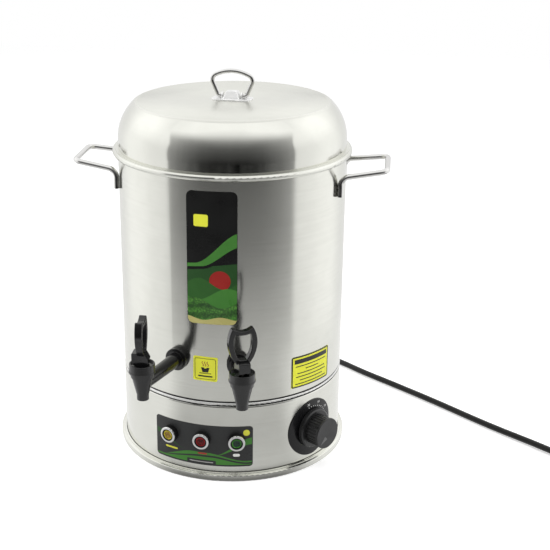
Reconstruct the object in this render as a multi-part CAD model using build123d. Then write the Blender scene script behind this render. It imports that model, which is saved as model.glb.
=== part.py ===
from build123d import *
from math import atan2, cos, pi, radians, sin, sqrt, tan
import os

# Two-tap electric tea urn in stainless steel, with a brew pot that hangs inside the water tank.
# Millimetres, +Z up. The origin is on the counter under the tank's axis, and the front faces -Y.
# An azimuth is measured round the axis in degrees from the front, positive towards +X.

# Clearances and cutting
seat_clearance = 0.05
running_clearance = 0.06
moving_clearance = 0.3
cut_overrun = 3.0

# Sheet metal
sheet = 1.0
pot_sheet = 0.8

# Base ring
base_step = 0.2
base_height = 99.6
shoulder_round = 3.0
shoulder_flange = 16.0
foot_spread = 6.4
band_height = 7.6
band_edge = 0.9
band_round = 1.6
band_hem = 4.6
step_rise = 2.2
step_fall = 0.5
step_lean = 0.8
step_width = 3.0
step_round = 0.2

# Bottom plate and tie stud
plate_height = 10.5
plate_rim_round = 2.0
tie_stud_radius = 3.0
tie_stud_tail = 2.0
tie_hole_clearance = 0.3
tie_nut_flats = 10.0
tie_nut_height = 5.0

# Tank
tank_radius = 140.0
tank_height = 286.4
tank_foot_inset = 1.6
tank_foot_height = 2.2
bottom_bead_radius = 1.9
bottom_bead_reach = 0.3
rim_bead_radius = 3.5
rim_bead_reach = 6.7
rim_flat_depth = 0.15

# Side handles, bent from rod
handle_azimuths = {"side_handle_right": 90.0, "side_handle_left": -90.0}
handle_rod = 6.8
handle_leg_spread = 92.0
handle_end_spread = 74.0
handle_depth = 50.0
handle_leg_drop = 47.5
handle_drop = 24.5
handle_rise = 7.5
handle_bend = 11.0

# Brew pot
pot_gap = 11.0
pot_floor_rise = 79.5
pot_floor_round = 10.0
pot_flange_reach = 3.2
pot_outlet_radius = 7.0
pot_outlet_wall = 1.0
pot_outlet_gap = 2.0
outlet_from_axis = 82.0

# Tea strainer
strainer_radius = 17.0
strainer_height = 24.0
strainer_round = 4.0
strainer_hole = 3.0
strainer_hole_count = 12
strainer_row_shares = (0.3, 0.6)

# Lid
lid_inset = 0.2
lid_wall_height = 10.5
lid_dome_radius = 58.5
lid_dome_turn = 47.0
lid_height = 56.7
lid_top_round = 9.0
lid_skirt_depth = 12.0
lid_skirt_clearance = 0.6
lid_turn = -7.0

# Lid bracket and bail
bracket_length = 50.0
bracket_width = 26.0
bracket_round = 9.0
bracket_sheet = 1.2
boss_foot = (21.0, 18.0)
boss_top = (14.0, 10.0)
boss_height = 10.0
boss_round = 1.5
ear_width = 9.0
ear_thickness = 1.6
ear_gap = 22.6
bail_rod = 5.4
bail_pin_inset = 0.4
bail_pin_bend = 3.8
bail_leg_spread = 35.0
bail_corner_spread = 54.4
bail_corner_height = 22.0
bail_corner_bend = 7.2
bail_arch_height = 34.5
bail_arch_share = 0.7

# Taps
tap_azimuths = {"tea_tap": -19.4, "water_tap": 10.8}
lever_facings = {"tea_tap": -90.0, "water_tap": 24.0}
tap_rise = 56.9
tap_projection = 82.0
tap_bore = 10.0
tap_shank = 16.0
tap_shank_length = 20.0
tap_flange = 27.5
tap_flange_length = 4.0
tap_collar = 23.5
tap_collar_length = 3.5
tap_arm_root = 17.5
tap_arm_tip = 15.5
gasket_thickness = 3.0
inner_gasket = 25.0
locknut_flats = 25.0
locknut_height = 6.0
nozzle_height = 7.2
nozzle_outer = 13.8
nozzle_bore = 9.2
nozzle_step = 0.4
cone_rise = 9.9
cone_height = 21.2
cone_top_diameter = 24.5
tap_ring = 28.0
tap_ring_foot = 26.4
tap_ring_height = 5.6
tap_thread = 26.0
tap_thread_height = 4.0
seat_drop = 6.0
chamber_floor_diameter = 13.6
chamber_diameter = 21.2
bonnet_diameter = 30.6
bonnet_top_diameter = 29.4
bonnet_lip = 0.35
bonnet_lip_height = 1.8
bonnet_height = 10.6
bonnet_rim = 1.8
bonnet_dish = 2.4
bonnet_roof = 2.2
bonnet_round = 0.8
seat_pad = 12.6
seat_pad_height = 4.0
seat_neck = 10.4
seat_neck_height = 12.0
seat_collar = 25.0
stem_diameter = 6.0
stem_crown_share = 0.95
pivot_pin_diameter = 3.0
pivot_height = 6.5

# Tap levers. The foot is a cam: it lifts the stem in step with the lever's angle.
lever_travel = 60.0
cam_lift_per_radian = 3.5
cam_points = 7
foot_width = 13.4
foot_back = 7.0
foot_heel = 8.6
foot_heel_height = 1.5
foot_top = 9.6
foot_round = 1.2
lever_slot_clearance = 0.35
loop_thickness = 8.4
loop_width = 33.0
loop_widest = 32.2
loop_top = 50.2
horn_spread = 23.6
horn_dip = 4.6
loop_eye_width = 21.2
loop_eye_foot = 8.4
loop_eye_top_width = 17.6
loop_eye_low = 11.8
loop_eye_high = 43.0
loop_eye_dip = 1.8
loop_root = 3.0
horn_round = 1.8
loop_eye_round = 1.8
loop_edge_round = 0.9

# Heating element in the tank
heater_rod = 8.5
heater_ring_radius = 85.0
heater_lift = 17.0
heater_azimuth = 150.0
heater_opening = 36.0
heater_bend = 14.0
heater_boss = 12.0
heater_collar = 18.0
heater_collar_height = 4.0
heater_gasket = 2.0
heater_boss_tail = 14.0
heater_nut_flats = 19.0
heater_nut_height = 6.0
heater_blade = (6.3, 0.8)
heater_blade_length = 10.0

# Thermostat, its knob and its dial plate
thermostat_azimuth = 52.5
thermostat_height = 51.5
thermostat_box = (44.0, 36.0, 24.0)
thermostat_setback = 4.0
thermostat_post = 8.0
thermostat_screw_spacing = 28.0
thermostat_screw = 4.0
screw_head = 7.0
screw_head_height = 1.5
screw_length = 9.0
shaft_diameter = 6.0
shaft_in_knob = 18.0
shaft_socket = 8.0
dial_diameter = 74.4
dial_thickness = 1.0
knob_gap = 0.6
knob_skirt = 50.0
knob_skirt_thickness = 6.0
knob_skirt_bevel = 1.4
knob_grip = 38.0
knob_face = 39.4
knob_face_thickness = 2.6
knob_length = 25.0
knob_edge_round = 1.2
knob_flutes = 30
knob_flute_radius = 1.0
probe_bulb = 6.0
probe_bulb_length = 50.0
capillary_run = 16.2
capillary_lead = 3.0
capillary = 2.0
capillary_bend = 12.0

# Cut-out thermostat under the tank floor
cutout_diameter = 16.0
cutout_height = 11.0
cutout_flange = (28.0, 12.0)
cutout_flange_thickness = 1.2
cutout_place = (-45.0, 30.0)

# Indicator lamps
yellow_lamp_azimuth = -24.2
red_lamp_azimuth = -7.1
green_lamp_azimuth = 10.0
lamp_height = 53.3
lamp_diameter = 20.6
lamp_body_length = 6.6
lamp_bezel_bore = 15.4
lamp_bezel_length = 2.2
lamp_bezel_round = 1.0
lamp_lens_depth = 3.0
lamp_lens_round = 1.0
lamp_shank = 12.0
lamp_shank_length = 26.0
lamp_hole_clearance = 0.2
lamp_nut_flats = 17.0
lamp_nut_height = 4.0

# Labels and stickers: rise of the low edge above the foot of the wall, arc width, height, corner round
label_thickness = 0.3
control_label = (17.6, 127.6, 54.5, 4.0)
front_sticker = (105.4, 59.6, 161.5, 7.0)
square_sticker = (31.8, 30.0, 31.4, 2.0)
wide_sticker = (12.6, 64.8, 40.6, 1.0)
control_label_azimuth = -7.8
front_sticker_azimuth = -1.8
square_sticker_azimuth = -5.3
square_sticker_tilt = -1.2
wide_sticker_azimuth = 51.9
wide_sticker_tilt = -1.6

# Tea elbow from the brew pot to the tea tap
elbow_outer = 14.0
elbow_bore = 10.0
elbow_bend = 13.0
elbow_union = 22.0
elbow_union_length = 12.0
socket_outer = 28.0
socket_height = 18.0
socket_rise = 23.0
socket_wall = 3.0
seal_height = 8.0

# Terminal block
terminal_box = (42.0, 18.0, 16.0)
terminal_place = (10.0, 78.0)
terminal_screw = 3.6
terminal_pitch = 12.0
terminal_screw_depth = 6.0

# Cord gland
gland_azimuth = 168.0
gland_height = 32.0
gland_hole = 16.0
gland_flange = 22.0
gland_flange_length = 4.0
gland_root = 15.0
gland_tip = 10.0
gland_length = 32.0
gland_tail = 8.0

# Power cord. The route starts at the gland's tip and ends where the coil begins.
cord_diameter = 8.0
cord_bend_share = 0.45
gland_lead = 20.0
coil_lead = 62.0
cord_route = [
    (51.0, 211.5, 25.5),
    (68.0, 226.0, 15.0),
    (91.0, 233.5, 7.5),
    (115.0, 230.0, 4.2),
    (138.0, 214.0, 4.0),
    (167.0, 186.5, 4.0),
    (207.0, 155.0, 4.0),
    (272.0, 101.0, 4.0),
    (340.0, 40.0, 4.0),
]
coil_entry = (445.0, -48.0)
coil_heading = -41.0
coil_inner_radius = 34.5
coil_pitch = 8.7
coil_quarters = 7
coil_layer_rise = 9.0
coil_climb_quarters = 1
coil_gap_samples = 60

# Cord tie and plug
tie_band = 0.8
tie_band_width = 6.0
tie_clearance = 0.5
plug_radius = 18.5
plug_body_length = 36.0
plug_waist_radius = 13.0
plug_waist_length = 12.0
plug_relief_length = 26.0
plug_relief_tip = 5.6
plug_face_round = 1.5
plug_pin_diameter = 4.8
plug_pin_length = 19.0
plug_pin_spacing = 19.0
plug_pin_socket = 10.0
plug_pin_round = 1.6

UP = (Align.CENTER, Align.CENTER, Align.MIN)


def at_azimuth(azimuth, shape):
    """Turn a piece built at the front round the urn."""
    return Rot(0, 0, azimuth) * shape


def outward(from_axis, height):
    """Plane at the front of the urn: X along the wall, Y up, Z away from the axis."""
    return Plane(origin=(0, -from_axis, height), x_dir=(1, 0, 0), z_dir=(0, -1, 0))


def rod(diameter, length):
    """Round bar that stands on the plane it is placed on."""
    return Cylinder(diameter / 2, length, align=UP)


def hexagon(flats, length):
    """Hexagonal bar that stands on the plane it is placed on."""
    return extrude(RegularPolygon(flats / 2, 6, major_radius=False), amount=length)


def outline(*corners):
    """Face in the XZ plane from corners given as radius, height and, where round, a radius."""
    points = [(corner[0], 0, corner[1]) for corner in corners]
    rounds = [corner[2] if len(corner) > 2 else 0 for corner in corners]
    return make_face(FilletPolyline(*points, radius=rounds, close=True))


def turned(*corners):
    """Solid of revolution about the Z axis."""
    return revolve(outline(*corners), axis=Axis.Z)


def ring(outer, inner, low, high):
    """Plain ring about the Z axis, from radii and heights."""
    return turned((inner, low), (outer, low), (outer, high), (inner, high))


def swept(diameter, path):
    """Round rod bent along a path."""
    return sweep(Plane(path @ 0, z_dir=path % 0) * Circle(diameter / 2), path=path)


def wall_hole(diameter, azimuth, height, wall_radius):
    """Cutter for a round hole through the wall."""
    depth = wall_radius - cut_overrun * 2
    return at_azimuth(azimuth, outward(depth, height) * rod(diameter, cut_overrun * 4))


def rolled_edge(centre_radius, centre_height, edge_radius):
    """Round bead of a rolled edge, about the Z axis."""
    return revolve(Plane.XZ * Pos(centre_radius, centre_height) * Circle(edge_radius), axis=Axis.Z)


def wrapped(shape, skin, azimuth, height):
    """Thin sheet that follows a round wall, cut to a flat shape seen from in front."""
    prism = extrude(outward(0, height) * shape, amount=foot_radius + cut_overrun)
    return at_azimuth(azimuth, prism & skin)


def chord(arc_width, radius):
    """Straight width of an arc that is measured along the wall."""
    return 2 * radius * sin(arc_width / (2 * radius))


pieces = {}

# Base ring: rolled shoulder on top, and a seamed step over a foot band that is turned in on the counter
base_radius = tank_radius + base_step
foot_radius = base_radius + foot_spread
base_inner = base_radius - sheet
flange_inner = base_radius - shoulder_flange
step_radius = base_radius + step_width
step_height = band_height + step_rise
step_under = band_height - sheet
hem_inner = foot_radius - band_hem
base_ring = turned(
    (flange_inner, base_height),
    (base_radius, base_height, shoulder_round),
    (base_radius, step_height, step_round),
    (step_radius, step_height - step_fall, step_round),
    (step_radius, band_height + step_lean, step_round),
    (foot_radius, band_height, band_edge),
    (foot_radius, 0, band_round),
    (hem_inner, 0),
    (hem_inner, sheet),
    (foot_radius - sheet, sheet, band_round - sheet),
    (foot_radius - sheet, step_under),
    (base_inner, step_under),
    (base_inner, base_height - sheet, shoulder_round - sheet),
    (flange_inner, base_height - sheet),
)
lamp_azimuths = {
    "yellow": yellow_lamp_azimuth,
    "red": red_lamp_azimuth,
    "green": green_lamp_azimuth,
}
for azimuth in lamp_azimuths.values():
    base_ring -= wall_hole(lamp_shank + 2 * lamp_hole_clearance, azimuth, lamp_height, base_radius)
thermostat_wall_hole = shaft_diameter + thermostat_setback
base_ring -= wall_hole(thermostat_wall_hole, thermostat_azimuth, thermostat_height, base_radius)
for side in (-1, 1):
    screw_hole = outward(base_radius - cut_overrun * 2, thermostat_height)
    screw_hole *= Pos(side * thermostat_screw_spacing / 2, 0, 0)
    base_ring -= at_azimuth(
        thermostat_azimuth, screw_hole * rod(thermostat_screw + 2 * seat_clearance, cut_overrun * 4)
    )
base_ring -= wall_hole(gland_hole + 2 * seat_clearance, gland_azimuth, gland_height, base_radius)
pieces["base_ring"] = base_ring


def base_skin(thickness):
    """Thin layer that lies on the outside of the base's straight wall."""
    inside = base_radius + seat_clearance
    return ring(inside + thickness, inside, step_height + step_round, base_height - shoulder_round)


# Bottom plate: a shallow inverted tray whose rim the tie stud draws up under the step
plate_radius = hem_inner - moving_clearance
plate_rim_top = step_under - seat_clearance
tray_radius = base_inner - moving_clearance
bottom_plate = turned(
    (0, plate_height),
    (tray_radius, plate_height, plate_rim_round),
    (tray_radius, plate_rim_top),
    (plate_radius, plate_rim_top),
    (plate_radius, plate_rim_top - sheet),
    (tray_radius - sheet, plate_rim_top - sheet),
    (tray_radius - sheet, plate_height - sheet, plate_rim_round - sheet),
    (0, plate_height - sheet),
)
tie_hole = 2 * (tie_stud_radius + tie_hole_clearance)
bottom_plate -= Pos(0, 0, plate_height - cut_overrun) * rod(tie_hole, cut_overrun * 2)
pieces["bottom_plate"] = bottom_plate

tie_nut_top = plate_height - sheet
tie_stud_low = tie_nut_top - tie_nut_height - tie_stud_tail
tie_stud = Pos(0, 0, tie_stud_low) * rod(2 * tie_stud_radius, base_height - tie_stud_low)
pieces["tie_stud"] = tie_stud
tie_nut = hexagon(tie_nut_flats, tie_nut_height)
tie_nut -= rod(2 * (tie_stud_radius + seat_clearance), tie_nut_height)
pieces["tie_nut"] = Pos(0, 0, tie_nut_top - tie_nut_height) * tie_nut

# Tank: a wall with a rolled rim, which stands on the beaded edge of a flat bottom
tank_rim_height = base_height + tank_height
tank_foot = base_height + 2 * bottom_bead_radius + seat_clearance
tank_inner = tank_radius - sheet
tank_floor = base_height + sheet
rim_centre_radius = tank_radius + rim_bead_reach - rim_bead_radius
rim_centre_height = tank_rim_height - rim_bead_radius + rim_flat_depth
tank_shell = turned(
    (tank_radius - tank_foot_inset, tank_foot),
    (tank_radius, tank_foot + tank_foot_height),
    (tank_radius, rim_centre_height),
    (tank_inner, rim_centre_height),
    (tank_inner, tank_foot + tank_foot_height),
    (tank_inner - tank_foot_inset, tank_foot),
)
tank_shell += rolled_edge(rim_centre_radius, rim_centre_height, rim_bead_radius)
tank_shell -= Pos(0, 0, tank_rim_height) * rod(2 * (tank_radius + rim_bead_reach), cut_overrun)
tap_height = base_height + tap_rise
for azimuth in tap_azimuths.values():
    tank_shell -= wall_hole(tap_shank + 2 * seat_clearance, azimuth, tap_height, tank_radius)
pieces["tank_shell"] = tank_shell

bottom_bead_from_axis = tank_radius + bottom_bead_reach - bottom_bead_radius
tank_bottom = Pos(0, 0, base_height) * rod(2 * bottom_bead_from_axis, sheet)
tank_bottom += rolled_edge(bottom_bead_from_axis, base_height + bottom_bead_radius, bottom_bead_radius)

# Heating element: an open ring of sheathed rod with two bosses through the tank floor
heater_height = tank_floor + heater_lift
heater_start = heater_azimuth - 90 + heater_opening / 2
heater_sweep = 360 - heater_opening
heater_ring = CenterArc((0, 0, heater_height), heater_ring_radius, heater_start, heater_sweep)


def heater_leg(point, direction):
    """Bend at an end of the heater ring and the leg that goes down through the floor."""
    down = Vector(0, 0, -heater_bend)
    ahead = direction * heater_bend
    middle = point + ahead * sin(pi / 4) + down * (1 - cos(pi / 4))
    corner = point + ahead + down
    bend = ThreePointArc(point, middle, corner)
    leg = Line(corner, (corner.X, corner.Y, tank_floor))
    return bend, leg


tail_bend, tail_leg = heater_leg(heater_ring @ 1, heater_ring % 1)
head_bend, head_leg = heater_leg(heater_ring @ 0, (heater_ring % 0) * -1)
heater_path = Wire([head_leg, head_bend, heater_ring, tail_bend, tail_leg])
heater_element = swept(heater_rod, heater_path)
heater_gaskets = []
heater_nuts = []
for leg in (head_leg, tail_leg):
    foot = Pos((leg @ 1).X, (leg @ 1).Y, tank_floor)
    boss_low = -(sheet + heater_boss_tail)
    heater_element += foot * Pos(0, 0, heater_gasket) * rod(heater_collar, heater_collar_height)
    heater_element += foot * Pos(0, 0, boss_low) * rod(heater_boss, -boss_low + heater_gasket)
    blade = Box(heater_blade[0], heater_blade[1], heater_blade_length, align=UP)
    heater_element += foot * Pos(0, 0, boss_low - heater_blade_length) * blade
    washer = rod(heater_collar, heater_gasket) - rod(heater_boss + 2 * seat_clearance, heater_gasket)
    heater_gaskets.append(foot * washer)
    nut = hexagon(heater_nut_flats, heater_nut_height)
    nut -= rod(heater_boss + 2 * seat_clearance, heater_nut_height)
    heater_nuts.append(foot * Pos(0, 0, -sheet - heater_nut_height) * nut)
    floor_hole = rod(heater_boss + 2 * seat_clearance, cut_overrun * 2)
    tank_bottom -= foot * Pos(0, 0, -cut_overrun) * floor_hole
pieces["tank_bottom"] = tank_bottom
pieces["heater_element"] = heater_element
pieces["heater_gaskets"] = Compound(heater_gaskets)
pieces["heater_nuts"] = Compound(heater_nuts)

# Cut-out thermostat, pressed against the tank floor from below
cutout = Pos(0, 0, -cutout_height) * rod(cutout_diameter, cutout_height)
cutout_plate = Box(cutout_flange[0], cutout_flange[1], cutout_flange_thickness, align=UP)
cutout += Pos(0, 0, -cutout_flange_thickness) * cutout_plate
pieces["cutout_thermostat"] = Pos(cutout_place[0], cutout_place[1], base_height) * cutout

# Side handles: each a bent rod whose two legs are welded to the tank wall
handle_leg_from_axis = tank_radius + handle_rod / 2 + seat_clearance
handle_leg_out = sqrt(handle_leg_from_axis**2 - (handle_leg_spread / 2) ** 2)
handle_reach = tank_radius + handle_depth
handle_leg_foot = tank_rim_height - handle_leg_drop
handle_height = tank_rim_height - handle_drop
handle_top = handle_height + handle_rise
for name, azimuth in handle_azimuths.items():
    half_side = [
        (handle_leg_spread / 2, -handle_leg_out, handle_leg_foot),
        (handle_leg_spread / 2, -handle_leg_out, handle_height),
        (handle_end_spread / 2, -handle_reach, handle_top),
    ]
    other_side = [(-x, y, z) for x, y, z in reversed(half_side)]
    handle_path = FilletPolyline(*half_side, *other_side, radius=handle_bend)
    pieces[name] = at_azimuth(azimuth, swept(handle_rod, handle_path))

# Brew pot: hangs by its flange on the tank rim, with an outlet that plugs into the tea elbow
pot_radius = tank_radius - pot_gap
pot_inner = pot_radius - pot_sheet
pot_flange_radius = tank_radius + pot_flange_reach
pot_floor_height = tap_height + pot_floor_rise
pot_flange_top = tank_rim_height + pot_sheet
pot_floor_top = pot_floor_height + pot_sheet
brew_pot = turned(
    (0, pot_floor_height),
    (pot_radius, pot_floor_height, pot_floor_round),
    (pot_radius, tank_rim_height),
    (pot_flange_radius, tank_rim_height),
    (pot_flange_radius, pot_flange_top),
    (pot_inner, pot_flange_top),
    (pot_inner, pot_floor_top, pot_floor_round - pot_sheet),
    (0, pot_floor_top),
)
outlet_place = at_azimuth(tap_azimuths["tea_tap"], Pos(0, -outlet_from_axis, 0))
socket_floor = tap_height + socket_rise
pot_outlet_end = socket_floor + pot_outlet_gap
outlet_length = pot_floor_height - pot_outlet_end
brew_pot += outlet_place * Pos(0, 0, pot_outlet_end) * rod(2 * pot_outlet_radius, outlet_length)
outlet_bore = rod(2 * (pot_outlet_radius - pot_outlet_wall), outlet_length + pot_sheet)
brew_pot -= outlet_place * Pos(0, 0, pot_outlet_end) * outlet_bore
pieces["brew_pot"] = brew_pot

strainer = turned(
    (strainer_radius, 0),
    (strainer_radius, strainer_height, strainer_round),
    (0, strainer_height),
    (0, strainer_height - pot_sheet),
    (strainer_radius - pot_sheet, strainer_height - pot_sheet, strainer_round - pot_sheet),
    (strainer_radius - pot_sheet, 0),
)
for row, share in enumerate(strainer_row_shares):
    for index in range(strainer_hole_count):
        turn = 360 * (index + row / 2) / strainer_hole_count
        hole = Plane(origin=(0, 0, share * strainer_height), z_dir=(1, 0, 0))
        strainer -= Rot(0, 0, turn) * hole * rod(strainer_hole, strainer_radius + cut_overrun)
pieces["tea_strainer"] = outlet_place * Pos(0, 0, pot_floor_top) * strainer

# Lid: spun dome with a flat top, and a skirt that drops into the brew pot
lid_radius = tank_radius - lid_inset
lid_top_height = tank_rim_height + lid_height
lid_foot = pot_flange_top
lid_spring = lid_foot + lid_wall_height
dome_tangent = tan(radians(lid_dome_turn / 2))
crown_tangent = tan(radians((90 - lid_dome_turn) / 2))
dome_corner = lid_spring + lid_dome_radius * dome_tangent
crown_radius = lid_radius - (lid_top_height - dome_corner) * tan(radians(lid_dome_turn))
lid_inner_top = lid_top_height - sheet
skirt_radius = pot_inner - lid_skirt_clearance
lid_shell = turned(
    (0, lid_top_height),
    (crown_radius, lid_top_height, lid_top_round),
    (lid_radius, dome_corner, lid_dome_radius),
    (lid_radius, lid_foot),
    (skirt_radius, lid_foot),
    (skirt_radius, lid_foot - lid_skirt_depth),
    (skirt_radius - sheet, lid_foot - lid_skirt_depth),
    (skirt_radius - sheet, lid_foot + sheet),
    (lid_radius - sheet, lid_foot + sheet),
    (lid_radius - sheet, dome_corner - sheet * dome_tangent, lid_dome_radius - sheet),
    (crown_radius - sheet * crown_tangent, lid_inner_top, lid_top_round - sheet),
    (0, lid_inner_top),
)
pieces["lid_shell"] = lid_shell

# Lid bracket: stamped plate with a faceted boss and two ears for the bail
bracket_foot = Pos(0, 0, lid_top_height)
bail_axis_height = bracket_sheet + moving_clearance + bail_rod / 2
bracket = extrude(RectangleRounded(bracket_length, bracket_width, bracket_round), amount=bracket_sheet)
boss_low = Plane.XY.offset(bracket_sheet) * RectangleRounded(*boss_foot, boss_round)
boss_high = Plane.XY.offset(boss_height) * RectangleRounded(*boss_top, boss_round)
bracket += loft([boss_low, boss_high])
ear_top = bail_axis_height + ear_width / 2
for side in (-1, 1):
    ear = Pos(side * (ear_gap / 2 + ear_thickness / 2), 0, 0)
    upright = Box(ear_thickness, ear_width, bail_axis_height, align=UP)
    crown = Rot(0, 90, 0) * Cylinder(ear_width / 2, ear_thickness)
    pin_hole = Rot(0, 90, 0) * Cylinder(bail_rod / 2 + running_clearance, ear_thickness + cut_overrun)
    bracket += ear * (upright + Pos(0, 0, bail_axis_height) * crown)
    bracket -= ear * Pos(0, 0, bail_axis_height) * pin_hole
bracket &= Cylinder(bracket_length, boss_height + ear_top, align=UP)
pieces["lid_bracket"] = at_azimuth(lid_turn, bracket_foot * bracket)

# Lid bail: bent wire that stands up or folds down to either side
bail_half = [
    (ear_gap / 2 - bail_pin_inset, 0, 0),
    (bail_leg_spread / 2, 0, 0),
    (bail_corner_spread / 2, 0, bail_corner_height),
    (0, 0, bail_arch_height),
]
bail_points = bail_half + [(-x, y, z) for x, y, z in reversed(bail_half[:-1])]
arch_slope = atan2(bail_arch_height - bail_corner_height, bail_corner_spread / 2)
arch_run = bail_corner_spread / 2 / cos(arch_slope)
bail_arch_bend = bail_arch_share * arch_run / tan(arch_slope)
bail_bends = [bail_pin_bend, bail_corner_bend, bail_arch_bend, bail_corner_bend, bail_pin_bend]
bail = swept(bail_rod, FilletPolyline(*bail_points, radius=bail_bends))
pieces["lid_bail"] = at_azimuth(lid_turn, bracket_foot * Pos(0, 0, bail_axis_height) * bail)

# Taps
tap_reach = tank_radius + tap_projection
cone_top = tap_height + cone_rise
nozzle_top = cone_top - cone_height
nozzle_end = nozzle_top - nozzle_height
chamber_floor = tap_height - seat_drop
bonnet_foot = cone_top + tap_ring_height
bonnet_top = bonnet_foot + bonnet_height
bonnet_floor = bonnet_top - bonnet_dish
bonnet_under = bonnet_floor - bonnet_roof
thread_top = bonnet_foot + tap_thread_height
pivot_level = bonnet_floor + moving_clearance + pivot_height
flange_back = tank_radius + gasket_thickness
collar_back = flange_back + tap_flange_length
arm_back = collar_back + tap_collar_length
shank_end = tank_inner - tap_shank_length
seat_neck_low = chamber_floor + seat_pad_height
barrel_place = Pos(0, -tap_reach, 0)


def tap_body():
    """Moulded body: shank, flange, collar, tapered arm and the barrel with its nozzle."""
    body = barrel_place * turned(
        (0, nozzle_end),
        (nozzle_outer / 2, nozzle_end),
        (nozzle_outer / 2, nozzle_top),
        (nozzle_outer / 2 + nozzle_step, nozzle_top),
        (cone_top_diameter / 2, cone_top),
        (tap_ring_foot / 2, cone_top),
        (tap_ring / 2, bonnet_foot),
        (tap_thread / 2, bonnet_foot),
        (tap_thread / 2, thread_top),
        (0, thread_top),
    )
    arm_length = tap_reach - arm_back
    arm = Cone(tap_arm_root / 2, tap_arm_tip / 2, arm_length, align=UP)
    body += outward(arm_back, tap_height) * arm
    body += outward(collar_back, tap_height) * rod(tap_collar, tap_collar_length)
    body += outward(flange_back, tap_height) * rod(tap_flange, tap_flange_length)
    body += outward(shank_end, tap_height) * rod(tap_shank, flange_back - shank_end)
    body -= outward(shank_end, tap_height) * rod(tap_bore, tap_reach - shank_end)
    body -= barrel_place * turned(
        (0, nozzle_end),
        (nozzle_bore / 2, nozzle_end),
        (nozzle_bore / 2, chamber_floor),
        (chamber_floor_diameter / 2, chamber_floor),
        (chamber_diameter / 2, cone_top),
        (chamber_diameter / 2, thread_top),
        (0, thread_top),
    )
    return body


def tap_bonnet():
    """Screw cap with a dished top that the lever's foot bears on."""
    bore = tap_thread / 2 + seat_clearance
    stem_hole = stem_diameter / 2 + running_clearance
    lip_top = bonnet_foot + bonnet_lip_height
    return barrel_place * turned(
        (bore, bonnet_foot),
        (bonnet_diameter / 2, bonnet_foot, bonnet_lip),
        (bonnet_diameter / 2, lip_top, bonnet_lip / 2),
        (bonnet_diameter / 2 - bonnet_lip, lip_top),
        (bonnet_top_diameter / 2, bonnet_top, bonnet_round),
        (bonnet_top_diameter / 2 - bonnet_rim, bonnet_top),
        (bonnet_top_diameter / 2 - bonnet_rim, bonnet_floor),
        (stem_hole, bonnet_floor),
        (stem_hole, bonnet_under),
        (bore, bonnet_under),
    )


def seat_cup():
    """Silicone cup: its pad closes the nozzle, and its collar is held under the bonnet."""
    stem_socket = stem_diameter / 2 + seat_clearance
    return barrel_place * turned(
        (0, chamber_floor),
        (seat_pad / 2, chamber_floor),
        (seat_pad / 2, seat_neck_low),
        (seat_neck / 2, seat_neck_low),
        (seat_neck / 2, seat_neck_low + seat_neck_height),
        (chamber_diameter / 2 - moving_clearance, thread_top),
        (seat_collar / 2, thread_top),
        (seat_collar / 2, bonnet_under),
        (stem_socket, bonnet_under),
        (stem_socket, seat_neck_low),
        (0, seat_neck_low),
    )


def tap_stem(facing):
    """Stem from the seat cup up through the bonnet to the lever's pivot pin."""
    stem_top = pivot_level + stem_diameter / 2
    stem = Pos(0, 0, seat_neck_low) * rod(stem_diameter, stem_top - seat_neck_low)
    stem = fillet(stem.edges().sort_by(Axis.Z)[-1:], stem_crown_share * stem_diameter / 2)
    cross = Rot(0, 90, 0) * Cylinder(pivot_pin_diameter / 2 + seat_clearance, stem_diameter)
    stem -= Pos(0, 0, pivot_level) * cross
    return barrel_place * Rot(0, 0, facing) * stem


def pivot_pin(facing):
    """Cross pin that carries the lever on the stem."""
    pin = Rot(0, 90, 0) * Cylinder(pivot_pin_diameter / 2, foot_width)
    return barrel_place * Rot(0, 0, facing) * Pos(0, 0, pivot_level) * pin


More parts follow.
